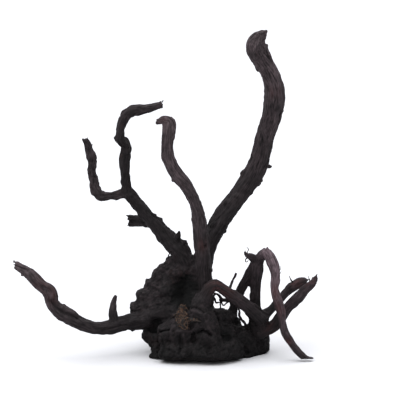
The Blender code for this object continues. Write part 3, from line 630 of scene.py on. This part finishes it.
# %% [markdown]
# All the relief is now one distance for each point, out along its normal or in. Moving the points by hand
# does in one step what a displace modifier for each pattern would do in ten.
# %% Move the skin
lift = broad + fine - hollow
points += normals * (lift * MM)[:, None]
wood.vertices.foreach_set("co", points.astype(np.float32).ravel())
wood.update()
print("the skin moved", span(lift))

# %% [markdown]
# The colour will need to know how each point was made: how deep or proud it is, how rough, and where it lies
# in the grain. Grey bloom, which also paints the highlight on the limbs that light falls on most, and red
# stains follow no rule, so a table says which limbs and spots carry them. All of it goes on the mesh as
# attributes, which a material can read and an export can bake. A painted texture would be lost as soon as a
# measure changed.
# %% Attributes for the colour
GRAIN_UNIT = 0.01
# How much a hollow counts as depth for the colour, beside the fine relief, so that hollows get painted shade
# and less painted highlight.
HOLLOW_SHADE_SHARE = 0.25
# Where the dye is thin and the wood shows red-brown: the place, how far it reaches in mm, and how strongly.
STAINS = [
    ((6, 77, -34), 9, 0.8), ((16, 71, -32), 10, 0.7), ((27, 63, -28), 8, 0.3), ((88, 78, 14), 7, 0.8),
    ((70, 54, -30), 10, 0.7), ((66, 70, -26), 9, 0.7), ((79, 21, -35), 4, 1.0), ((64, 270, 18), 7, 0.5),
    ((-9, 117, -22), 7, 0.7), ((-46, 242, -20), 5, 0.6), ((60, 34, -16), 7, 0.7), ((-168, 80, -32), 9, 0.5),
    ((-158, 68, -34), 9, 0.6), ((100, 78, -14), 7, 0.7), ((-60, 22, -22), 9, 0.6), ((-26, 84, -12), 9, 0.4),
]
# How much grey bloom a limb carries at its root and at its tip. This is partly painted highlight: more on the
# limbs and ends that light falls on most. At 1 all of its ribs are grey.
LIMB_BLOOM_AND_LIGHT = {
    "tall_limb": (-0.2, 0.9), "middle_limb": (0.1, 0.9), "left_limb": (-0.1, -0.1),
    "knotted_arm": (0.0, 0.35), "left_finger": (0.4, 0.35), "broken_stub": (0.0, 0.0),
    "low_limb": (-0.15, 0.75), "arch_root": (0.05, 0.1), "prop_root": (0.0, 0.3),
    "long_leg": (0.95, 0.1), "upper_fork": (0.05, 0.15), "lower_fork": (0.1, 0.3),
}
bloom_and_light_ends = np.array([LIMB_BLOOM_AND_LIGHT[limb] for limb in line_limbs])


def bloom_and_light_of(grain):
    at_root, at_tip = bloom_and_light_ends[grain[:, 8].astype(int)].T
    return at_root + (at_tip - at_root) * grain[:, 7]


def keep(name, kind, values):
    """Puts a value for each point on the wood, under a name that a material can read."""
    attribute = wood.attributes.new(name, kind, "POINT")
    field = "vector" if kind == "FLOAT_VECTOR" else "value"
    attribute.data.foreach_set(field, np.asarray(values, np.float32).ravel())


# Bloom for each point, partly painted highlight on the limbs that light falls on most.
bloom_and_highlight = share * bloom_and_light_of(grains[0]) + (1 - share) * bloom_and_light_of(grains[1])
bloom_and_highlight *= 1 - rough
stain = np.zeros(count)
for centre, reach, strength in STAINS:
    stain = np.maximum(stain, strength * np.exp(-away_from(centre, reach)**2))
# Hollows count as depth here, so the colour paints shade into them.
keep("relief", "FLOAT", fine - HOLLOW_SHADE_SHARE * hollow)
keep("rough", "FLOAT", rough)
keep("bloom_and_highlight", "FLOAT", bloom_and_highlight)
keep("stain", "FLOAT", stain)
keep("grain", "FLOAT_VECTOR", grains[0][:, 3:6] * GRAIN_UNIT)
print("attributes on the wood:", [a.name for a in wood.attributes if not a.name.startswith(".")])

# %% [markdown]
# The tree never had pieces, but a solid of its own for each limb is easier to collide and to repaint. The
# fused skin is sawn through at each main fork with a disc thinner than a hair, so the cuts don't show. Two
# boards as thin part the trunk and the root knot from the stump. A block below the floor cuts the foot flat,
# and a second one, tipped, takes the wood from under the front lip. They are Booleans, one after another.
# Deleting faces would leave holes, while the Manifold solver keeps the mesh closed.
# %% Saw the forks and the foot
SAW_GAP, SAW_SIDES = 0.02 * MM, 24
BLOCK = 600 * MM
LIP_START, LIP_SLOPE = -20 * MM, math.radians(11)
# Each cut: the line that it crosses, the share of that line where it lies, and the disc's radius in mm.
FORKS = [
    (LIMBS["tall_limb"], 0.24, 18), (LIMBS["middle_limb"], 0.2, 13), (LIMBS["left_limb"], 0.42, 14),
    (LIMBS["knotted_arm"], 0.11, 8.5), (LIMBS["left_finger"], 0.17, 8), (LIMBS["broken_stub"], 0.58, 9),
    (LIMBS["low_limb"], 0.24, 15), (LIMBS["arch_root"], 0.4, 9), (LIMBS["arch_root"], 0.86, 11.5),
    (LIMBS["prop_root"], 0.32, 8), (STRANDS["prop_root"][0], 0.42, 10), (LIMBS["long_leg"], 0.07, 8.5),
    (LIMBS["upper_fork"], 0.34, 9), (LIMBS["lower_fork"], 0.38, 9),
]
# Each board: its middle and its sides in mm. A side of 0 is as thin as the saw.
SPLITS = [((-32, 10, 76), (90, 70, 0)), ((12, 0, 24), (0, 120, 51))]


def saw_disc(bm, rows, share, reach):
    line = heart_line(rows)
    at = round(share * (len(line) - 1))
    turn = Vector(frames(line)[0][at]).to_track_quat("Z", "Y").to_matrix().to_4x4()
    turn.translation = line[at, :3]
    size = {"radius1": reach * MM, "radius2": reach * MM, "depth": SAW_GAP}
    bmesh.ops.create_cone(bm, cap_ends=True, segments=SAW_SIDES, matrix=turn, **size)


def all_discs(bm):
    for fork in FORKS:
        saw_disc(bm, *fork)


def board(bm, middle, sides):
    scale = Matrix.Diagonal([*(max(side * MM, SAW_GAP) for side in sides), 1])
    bmesh.ops.create_cube(bm, size=1, matrix=Matrix.Translation(Vector(middle) * MM) @ scale)


def floor_block(bm, line=0.0, slope=0.0):
    """A block with its top at the floor, or tipped about a line across it so that its front is higher."""
    tipped = Matrix.Translation((0, line, 0)) @ Matrix.Rotation(-slope, 4, "X")
    bmesh.ops.create_cube(bm, size=BLOCK, matrix=tipped @ Matrix.Translation((0, 0, -BLOCK / 2)))


def cut_away(mesh, make, *measures):
    """The mesh without the shape that this function makes from these measures."""
    bm = bmesh.new()
    make(bm, *measures)
    shape = bpy.data.meshes.new("cutter")
    bm.to_mesh(shape)
    bm.free()
    cutter = linked("cutter", shape)
    result = modified(mesh, "BOOLEAN", solver="MANIFOLD", operation="DIFFERENCE", object=cutter)
    bpy.data.objects.remove(cutter)
    return result


cuts = [(floor_block,), (floor_block, LIP_START, LIP_SLOPE), (all_discs,)]
for cut in cuts + [(board, *split) for split in SPLITS]:
    wood = cut_away(wood, *cut)
kept = [a.name for a in wood.attributes if not a.name.startswith(".")]
print("after the saw:", len(wood.vertices), "points, attributes", kept)

# %% [markdown]
# Separate by loose parts gives one object for each sawn limb. The bulkiest is the stump, and a limb is known
# by its tip, or by a place further down where its tip is too near another limb. Crumbs that came loose in the
# relief are too small to matter and go. Names given by hand would be wrong as soon as a measure changed.
# %% One piece for each limb
LEAST_PIECE = 400
CREASE = math.radians(65)
MARK_SHARES = {"arch_root": 0.65, "low_limb": 0.5, "prop_root": 0.5}

marks = {"trunk": placed(-47.5, 95.5, 4), "root_knot": placed(60, 14, 4)}
for limb, rows in LIMBS.items():
    line = heart_line(rows)
    marks[limb] = line[round(MARK_SHARES.get(limb, 1) * (len(line) - 1)), :3]
whole = linked("whole", wood)
for obj in bpy.context.selected_objects:
    obj.select_set(False)
whole.select_set(True)
bpy.context.view_layer.objects.active = whole
bpy.ops.mesh.separate(type="LOOSE")


def volume(obj):
    bm = bmesh.new()
    bm.from_mesh(obj.data)
    inside = bm.calc_volume()
    bm.free()
    return inside


pieces = {}
loose = sorted(bpy.context.selected_objects, key=volume, reverse=True)
for number, obj in enumerate(loose):
    if len(obj.data.vertices) < LEAST_PIECE:
        bpy.data.objects.remove(obj)
        continue
    spots = np.array([v.co for v in obj.data.vertices])
    nearest_limb = min(marks, key=lambda name: np.linalg.norm(spots - marks[name], axis=1).min())
    limb = nearest_limb if number else "stump"
    obj.name = "weathered_" + limb
    obj.data.name = obj.name
    pieces[limb] = obj
for limb, obj in pieces.items():
    obj.data.shade_smooth()
    obj.data.set_sharp_from_angle(angle=CREASE)
    print(obj.name, len(obj.data.polygons), "faces")
missing = sorted(set(frame["nodes"]) ^ set(pieces))
assert not missing, f"pieces and solids differ in {missing}"

# %% [markdown]
# A shader is a small graph. This one function adds a node, sets its properties, and fills its inputs with
# numbers or with another node's output, so that each material below reads as a list of what it is made of.
# Colours are the hex values that a paint chart gives, turned to the linear light that Blender mixes in.
# %% Nodes and colours
def linear(hex_colour):
    parts = [int(hex_colour[i:i + 2], 16) / 255 for i in (1, 3, 5)]
    return tuple(c / 12.92 if c <= 0.04045 else ((c + 0.055) / 1.055)**2.4 for c in parts) + (1.0,)


def fill(tree, made, inputs):
    """Fills a node's inputs, given as (socket, value or output) pairs."""
    for socket, value in inputs:
        if isinstance(value, bpy.types.NodeSocket):
            tree.links.new(value, made.inputs[socket])
        else:
            made.inputs[socket].default_value = value


def node(tree, kind, inputs=(), **settings):
    """A new node of this kind, with these properties and its inputs filled."""
    made = tree.nodes.new("ShaderNode" + kind)
    for name, value in settings.items():
        setattr(made, name, value)
    fill(tree, made, inputs)
    return made


def new_material(name):
    """A material with its node tree and its shader."""
    material = bpy.data.materials.new(name)
    material.use_nodes = True
    return material, material.node_tree, material.node_tree.nodes["Principled BSDF"]


print("peat black is", np.round(linear("#2b2729")[:3], 4), "in linear light")

# %% [markdown]
# Peat-blackened wood is oak or pine heartwood dyed by tannin and iron. It is matt, since rot roughened it. A
# dull grey bloom lies on the ribs and bumps, partly wear and partly painted highlight where light catches
# them. Painted shade lies in cracks, pits, hollows and the grooves of the grain, and a red-brown cast shows
# where the dye is thin. The stump is painted darker towards the floor, as painted shade. Real fibres are
# about
# 0.1 mm wide. They are drawn 0.7 mm wide and 9 mm long, the finest that shows. Wood's index of refraction is
# about 1.5, but a rotted skin scatters most of the shine, so it is lowered.
# %% Peat-blackened wood
# Sizes of the patterns in mm, and how high the finest one stands.
FIBRE_WIDTH, FIBRE_LENGTH = 0.7, 9.0
STREAK_WIDTH, STREAK_LENGTH = 2.6, 40.0
CRUMB, DUST, CLOUD, BUMP = 2.2, 15, 24, 0.4
RED_STAIN = "#3c2221"
# Painted shade: the stump darkens towards the floor below this height, down to this share of its colour.
FLOOR_SHADE_HEIGHT, FLOOR_SHADE_DARK = 70 * MM, 0.12
# Near black painted into cracks, pits, hollows and the grooves of the grain, as painted shade.
PAINTED_SHADE_BLACK = "#050505"
# The stump's bloom colour lightens its raised bumps: partly wear, partly painted highlight.
STUMP_CORE, STUMP_BLOOM_AND_HIGHLIGHT = "#181516", "#342c2e"
WORN_IOR = 1.24


def attribute_of(tree, name):
    return node(tree, "Attribute", attribute_name=name).outputs["Fac"]


def texture_of(tree, at, scale, detail):
    inputs = [("Vector", at), ("Scale", scale), ("Detail", detail), ("Roughness", 0.6)]
    return node(tree, "TexNoise", inputs).outputs[0]


def ramp(tree, value, low, high, at_low=0.0, at_high=1.0):
    """The value, turned smoothly from the range low to high into the range at_low to at_high."""
    inputs = [(0, value), (1, low), (2, high), (3, at_low), (4, at_high)]
    return node(tree, "MapRange", inputs, interpolation_type="SMOOTHSTEP").outputs[0]


def times(tree, first, second):
    return node(tree, "Math", [(0, first), (1, second)], operation="MULTIPLY", use_clamp=True).outputs[0]


def blend(tree, share, first, second, kind="MIX"):
    inputs = [(0, share), (6, first), (7, second)]
    return node(tree, "Mix", inputs, data_type="RGBA", blend_type=kind).outputs[2]


def between(tree, share, first, second):
    return node(tree, "Mix", [(0, share), (2, first), (3, second)], data_type="FLOAT").outputs[0]


def stretched(tree, grain, width, length):
    """Grain coordinates in which one step is this width across the fibres and this length along, in mm."""
    across, along = 1 / (GRAIN_UNIT * width), 1 / (GRAIN_UNIT * length)
    inputs = [(0, grain), (1, (across, across, along))]
    return node(tree, "VectorMath", inputs, operation="MULTIPLY").outputs[0]


def peat_wood(name, core, bloom_and_highlight, red):
    """The finish of weathered bog wood with this heart colour, this bloom (partly painted highlight) and this
    red of its thin dye.
    """
    material, tree, shader = new_material(name)
    grain = node(tree, "Attribute", attribute_name="grain").outputs["Vector"]
    place = node(tree, "TexCoord").outputs["Object"]
    relief, rough_part = attribute_of(tree, "relief"), attribute_of(tree, "rough")

    fibre = texture_of(tree, stretched(tree, grain, FIBRE_WIDTH, FIBRE_LENGTH), 1.0, 3.0)
    streak = texture_of(tree, stretched(tree, grain, STREAK_WIDTH, STREAK_LENGTH), 1.0, 2.0)
    crumb = texture_of(tree, place, 1 / (CRUMB * MM), 4.0)
    cloud = texture_of(tree, place, 1 / (CLOUD * MM), 2.0)
    dust = ramp(tree, texture_of(tree, place, 1 / (DUST * MM), 3.0), 0.34, 0.66, 0.5, 1.3)
    texture = between(tree, rough_part, fibre, crumb)

    # Grey bloom on the raised ribs, partly wear and partly painted highlight: lighter where relief and fibre
    # stand high.
    bloomed_and_lit = times(tree, ramp(tree, attribute_of(tree, "bloom_and_highlight"), 0.0, 1.0, 0.08, 1.0), dust)
    proud_highlight = times(tree, ramp(tree, relief, -0.4, 0.5, 0.62, 1.0), ramp(tree, texture, 0.34, 0.66, 0.16, 0.96))
    worn_and_highlit = times(tree, proud_highlight, bloomed_and_lit)
    # Raised bumps of the stump are lighter: partly wear, partly painted highlight.
    rubbed_and_highlit = times(tree, ramp(tree, relief, -0.1, 0.6), times(tree, rough_part, texture))
    reddish = ramp(tree, times(tree, streak, cloud), 0.34, 0.5, 0.0, 0.5)
    stained = times(tree, attribute_of(tree, "stain"), ramp(tree, streak, 0.36, 0.62, 0.0, 0.7))
    # Painted shade: the deeper the relief, the blacker.
    painted_shade = ramp(tree, relief, -0.15, -1.3)

    own = blend(tree, rough_part, linear(core), linear(STUMP_CORE))
    # Painted shade in the grooves: darker where the fibre or crumb pattern is low, as its bump is.
    colour = blend(tree, ramp(tree, texture, 0.25, 0.6, 0.25, 1.0), linear(PAINTED_SHADE_BLACK), own)
    colour = blend(tree, reddish, colour, linear(red))
    # Painted highlight and grey bloom on the raised ribs.
    colour = blend(tree, worn_and_highlit, colour, linear(bloom_and_highlight))
    # Painted highlight and wear on the stump's raised bumps.
    colour = blend(tree, rubbed_and_highlit, colour, linear(STUMP_BLOOM_AND_HIGHLIGHT))
    colour = blend(tree, stained, colour, linear(RED_STAIN))
    # Painted shade in cracks, pits and hollows.
    colour = blend(tree, painted_shade, colour, linear(PAINTED_SHADE_BLACK))
    # Painted shade: the stump is made darker towards the floor.
    low = node(tree, "SeparateXYZ", [(0, place)]).outputs["Z"]
    floor_shade = node(tree, "MapRange", [(0, low), (1, 0.0), (2, FLOOR_SHADE_HEIGHT), (3, FLOOR_SHADE_DARK), (4, 1.0)]).outputs[0]
    floor_shade = between(tree, rough_part, 1.0, floor_shade)
    colour = blend(tree, 1.0, colour, floor_shade, "MULTIPLY")
    roughness = node(tree, "MapRange", [(0, texture), (1, 0.3), (2, 0.7), (3, 0.9), (4, 0.68)]).outputs[0]
    bump = node(tree, "Bump", [("Height", texture), ("Distance", BUMP * MM), ("Strength", 0.8)]).outputs[0]
    fill(tree, shader, [("Base Color", colour), ("Roughness", roughness), ("Normal", bump)])
    fill(tree, shader, [("IOR", WORN_IOR), ("Metallic", 0.0)])
    return material


# Stump and limbs are the same near black. The thin roots dried paler, so they look greyer and browner.
finishes = {
    "stump_wood": peat_wood("peat_blackened_stump", "#151213", "#584c4f", "#231614"),
    "limb_wood": peat_wood("peat_blackened_limb", "#151213", "#584c4f", "#231614"),
    "root_wood": peat_wood("peat_blackened_root", "#171314", "#6d5d63", "#2c1b1b"),
}
slot_of = {part["node"]: part["material_slot"] for part in frame["record"]["subparts"]}
for limb, obj in pieces.items():
    obj.data.materials.clear()
    obj.data.materials.append(finishes[slot_of[limb]])
    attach(obj, "root")
    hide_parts(limb)
print(len(pieces), "pieces finished in", len(finishes), "kinds of peat-blackened wood")

# %% [markdown]
# Thin side roots died and dried to wires, and in the gaps of the stump they cross like a net. Finer ones
# stand as bristles on the prop root's head, the leg and the arch. They are heart lines again, but each wire
# is pushed about by a noise, because a root as thin as this turns at every pebble. The thickest are in the
# solids too. Round tubes with few sides are enough for wires of a few millimetres.
# %% Wiry rootlets
# Each point of a wire: across, up, back and radius in mm, as on the limbs.
ROOTLETS = [
    [
        (17, 66, -24, 2), (19, 71, -12, 1.5), (21.5, 77.5, 2, 1.4), (24, 83, 8, 1.3),
        (26.4, 88.5, 12, 1.2),
    ],
    [
        (-3, 66, -4, 1.2), (6, 68, 2, 0.9), (11, 62, 5, 0.85), (13, 56, 5, 0.8), (18, 59, 6, 0.8),
        (23, 60.5, 8, 1),
    ],
    [(10.5, 64, 3, 0.8), (10.4, 56, 4, 0.8), (10.6, 44, 4, 0.9)],
    [
        (27, 55, 2, 1.3), (29.4, 50, -1, 1.2), (29.8, 45, -3, 1.3), (32, 41, -5, 1.4),
        (35, 38, -6, 1.5), (37.5, 32, -6, 1.6),
    ],
]
FINE_ROOTLETS = [
    [
        (3.2, 65, 0, 1.2), (5, 67.2, 1, 1), (7.5, 67.6, 3, 1), (10, 64.9, 4, 1.3), (11.3, 62.6, 5, 1.8),
        (9.8, 60.6, 4, 1.1),
    ],
    [(10.6, 62.4, 5, 1.6), (14, 61.4, 5, 1.9), (17, 62.2, 6, 1.7), (20.6, 63.6, 7, 1.4)],
    [(12, 60.4, 5, 1), (16, 60.6, 5, 1.2), (19.4, 60, 6, 1.3), (20.8, 59.2, 7, 1.2), (21.8, 54.6, 7, 1.1)],
    [(2, 66.6, -2, 1.3), (4.2, 63.4, 1, 1.5), (5.6, 60.8, 2, 1.1), (6.4, 58.8, 3, 1), (10.4, 59.4, 4, 0.7)],
]
TWIGS = [
    [(84, 79, 15, 0.9), (81.4, 81.6, 15, 0.7), (79.4, 86, 15, 0.35)],
    [(38.4, 104, -3, 0.7), (37.4, 109, -4, 0.5), (38.6, 113, -4, 0.4), (36.8, 115.4, -4, 0.25)],
    [
        (39.6, 104, -2, 0.7), (36.2, 103, -5, 0.6), (35, 100.6, -5, 0.5), (37, 99.8, -5, 0.5),
        (38.4, 101.4, -5, 0.3),
    ],
    [(37.6, 107, -3, 0.6), (35.4, 109, -5, 0.4), (34.8, 112.4, -5, 0.25)],
    [
        (-42, 104, -4, 0.7), (-40.6, 109, -8, 0.6), (-38.6, 111.6, -9, 0.6), (-37, 108, -8, 0.5),
        (-36, 102, -8, 0.5),
    ],
    [(69, 90, -14, 0.4), (70.4, 93, -15, 0.3), (70.2, 95.6, -15, 0.2)],
    [(69.6, 88, -14, 0.4), (71.4, 90.4, -15, 0.2)],
    [(1, 83, -34, 0.4), (2.8, 86, -35, 0.25)], [(5, 82.4, -34, 0.4), (7.4, 83.8, -35, 0.2)],
    [(8, 81, -33, 0.4), (12.4, 80.2, -35, 0.2)], [(100, 81, -10, 0.6), (98.6, 85.4, -10, 0.3)],
]
WIGGLE, WIGGLE_LENGTH, THICK_AND_THIN = 0.7 * MM, 4.5, 0.35
WIRE_STEP, WIRE_ROUNDNESS = 0.8 * MM, 2


def wiry(number, rows):
    """A smooth line through the rows, pushed about and made thicker and thinner by a noise of its own."""
    line = heart_line(rows, WIRE_STEP)
    at = line[:, :3] / MM / WIGGLE_LENGTH + 7 * number
    held = np.minimum(1, np.arange(len(line)) / 4)[:, None]
    line[:, :3] += WIGGLE * held * np.array([noise.noise_vector(place) for place in at.tolist()])
    line[:, 3] *= 1 + THICK_AND_THIN * noise_at(at * 2)
    return line


def thin_piece(name, lines, roundness, finish):
    """One object of thin tubes along these lines, riding on the wood."""
    mesh = tubes(name, lines, roundness)
    mesh.name = name
    mesh.shade_smooth()
    mesh.materials.append(finish)
    obj = linked(name, mesh)
    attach(obj, "root")
    print(name, "has", len(lines), "strands and", len(mesh.polygons), "faces")


wires = [wiry(number, rows) for number, rows in enumerate(ROOTLETS + FINE_ROOTLETS + TWIGS)]
thin_piece("wiry_rootlets", wires, WIRE_ROUNDNESS, finishes["root_wood"])

# %% [markdown]
# In the mouth of the cave sits a tuft of brown fibre: the bast of a dead root, which bog water left pale and
# stringy. Each strand starts on the skin, where a ray in the direction of view meets it, and runs down over
# the wood with a wave and a lift of its own. A particle system would not survive an export, so the strands
# are mesh.
# %% Brown fibre tuft
# Each tuft: where its middle runs, across and up, half its width along the way, and its strands.
TUFTS = [
    ([(-27, 57), (-28, 50.5), (-29, 44.5), (-27, 38.5), (-25, 32.5)], [1.6, 3.6, 5.6, 5, 3], 210),
    ([(-26, 45), (-19, 44), (-12, 41.4)], [3.4, 2.6, 1.4], 44),
    ([(-29, 48), (-35.4, 45.6)], [2, 1.2], 14),
]
TUFT_STEP = 7
STRAND_POINTS = 9
STRAND_RADIUS = 0.26 * MM
BAST_PATCH = 2.2
dice = np.random.default_rng(5)
graph = bpy.context.evaluated_depsgraph_get()
skins = [BVHTree.FromObject(pieces[name], graph) for name in ("stump", "arch_root")]


def on_skin(across, up):
    """The place and the normal where the line of sight through this spot of the front view meets the wood."""
    start = Vector(placed(across, up, -150))
    hits = [skin.ray_cast(start, Vector(placed(across, up, 0)) - start) for skin in skins]
    place, normal, _, _ = min((hit for hit in hits if hit[0]), key=lambda hit: hit[3])
    return np.array(place), np.array(normal)


def strand(route, halves):
    """A hair that starts somewhere in the tuft and runs down over the wood, waving and lifting off it."""
    last = len(route) - 1
    at, spread = dice.uniform(0, last - 0.7), dice.normal(0, 0.42)
    length, wave, phase = dice.uniform(4, 9), dice.uniform(0.3, 1.5), dice.uniform(0, 2 * math.pi)
    lift, turns, drift = dice.uniform(0.3, 3.4), dice.uniform(2, 6), dice.normal(0, 2.2)
    line = []
    for t in np.linspace(0, 1, STRAND_POINTS):
        step = min(at + t * length / TUFT_STEP, last)
        across, up = (np.interp(step, range(last + 1), [point[axis] for point in route]) for axis in (0, 1))
        half = np.interp(step, range(last + 1), halves)
        aside = spread * half + wave * math.sin(phase + turns * t) + drift * t
        place, normal = on_skin(across + aside, up)
        line.append([*(place + normal * lift * MM * math.sin(math.pi * (0.1 + 0.8 * t))), STRAND_RADIUS])
    line[-1][3] *= 0.4
    return np.array(line)


def bast_fibre():
    """Pale brown strands with darker ones among them, since the bog dyed them unevenly."""
    material, tree, shader = new_material("bleached_bast_fibre")
    place = node(tree, "TexCoord").outputs["Object"]
    inputs = [("Vector", place), ("Scale", 1 / (BAST_PATCH * MM)), ("Detail", 2.0)]
    patch = node(tree, "TexNoise", inputs).outputs[0]
    patch = node(tree, "MapRange", [(0, patch), (1, 0.46), (2, 0.66)]).outputs[0]
    colour = blend(tree, patch, linear("#0f0b0a"), linear("#5a4130"))
    fill(tree, shader, [("Base Color", colour), ("Roughness", 0.7), ("Metallic", 0.0), ("IOR", 1.45)])
    return material


hairs = [strand(route, halves) for route, halves, strands in TUFTS for _ in range(strands)]
thin_piece("fibre_tuft", hairs, 0, bast_fibre())

# %% [markdown]
# The piece stands on a sheet of pale paper under a wide overhead sky of light, as in a light tent whose top
# glows and whose sides are dim. That leaves the hollows dark and puts a short black shadow under the front
# lip, where a few bright lamps would throw hard shadows. So much light falls on the paper that it prints
# plain white. The Standard view keeps the darks.
# %% Floor and light
FLOOR_HALF, FLOOR_DROP = 9.0, -0.05 * MM
SKY_LOW, SKY_HIGH = 0.06, 4.6
SKY_TINT = (0.97, 0.98, 1.0, 1.0)


def lamp(name, place, aim, size, power):
    light = bpy.data.lights.new(name, "AREA")
    light.shape = "SQUARE"
    light.size = size
    light.energy = power
    obj = linked(name, light)
    obj.location = place
    obj.rotation_euler = (Vector(aim) - Vector(place)).to_track_quat("-Z", "Y").to_euler()


sheet_mesh = bpy.data.meshes.new("studio_floor")
corners = [(x * FLOOR_HALF, y * FLOOR_HALF, FLOOR_DROP) for x, y in ((-1, -1), (1, -1), (1, 1), (-1, 1))]
sheet_mesh.from_pydata(corners, [], [(0, 1, 2, 3)])
studio_floor = linked("studio_floor", sheet_mesh)
paper, tree, shader = new_material("matt_white_paper")
fill(tree, shader, [("Base Color", linear("#bcbcbe")), ("Roughness", 1.0), ("Specular IOR Level", 0.0)])
sheet_mesh.materials.append(paper)

world = bpy.data.worlds.new("light_tent")
world.use_nodes = True
sky = world.node_tree
direction = node(sky, "TexCoord").outputs["Generated"]
height = node(sky, "SeparateXYZ", [(0, direction)]).outputs["Z"]
height = node(sky, "Math", [(0, height), (1, 0.0)], operation="MAXIMUM").outputs[0]
glow = node(sky, "Math", [(0, height), (1, 2.0)], operation="POWER").outputs[0]
glow = node(sky, "MapRange", [(0, glow), (3, SKY_LOW), (4, SKY_HIGH)]).outputs[0]
fill(sky, sky.nodes["Background"], [("Color", SKY_TINT), ("Strength", glow)])
bpy.context.scene.world = world
middle = Vector((-0.045, 0, 0.14))
lamp("left_panel", (-1.2, -0.6, 1.0), middle, 0.8, 8)
bpy.context.scene.view_settings.view_transform = "Standard"
print("the sky over the sheet goes from", SKY_LOW, "at the horizon to", SKY_HIGH, "overhead")

# %% [markdown]
# The camera looks slightly down from the front with a long lens, as far away as a product photographer stands
# back to keep the limbs in proportion. A short lens from nearby would swell the limbs that lean forward. One
# pixel of the 420 across is one millimetre at the stump.
# %% Camera
CAMERA_AWAY = 4.0
PICTURE = 420
SENSOR = 36.0
AIM_HEIGHT = 152
CLIP_END = 100

aim = Vector(placed(0, AIM_HEIGHT, 0))
camera = bpy.data.cameras.new("camera")
camera.sensor_width = SENSOR
camera.lens = SENSOR * CAMERA_AWAY / (PICTURE * MM)
camera.clip_end = CLIP_END
eye = linked("camera", camera)
eye.location = aim + CAMERA_AWAY * Vector((0, -math.cos(LOOK_DOWN), math.sin(LOOK_DOWN)))
eye.rotation_euler = (aim - eye.location).to_track_quat("-Z", "Y").to_euler()
bpy.context.scene.camera = eye
print("lens of", round(camera.lens), "mm at", CAMERA_AWAY, "m")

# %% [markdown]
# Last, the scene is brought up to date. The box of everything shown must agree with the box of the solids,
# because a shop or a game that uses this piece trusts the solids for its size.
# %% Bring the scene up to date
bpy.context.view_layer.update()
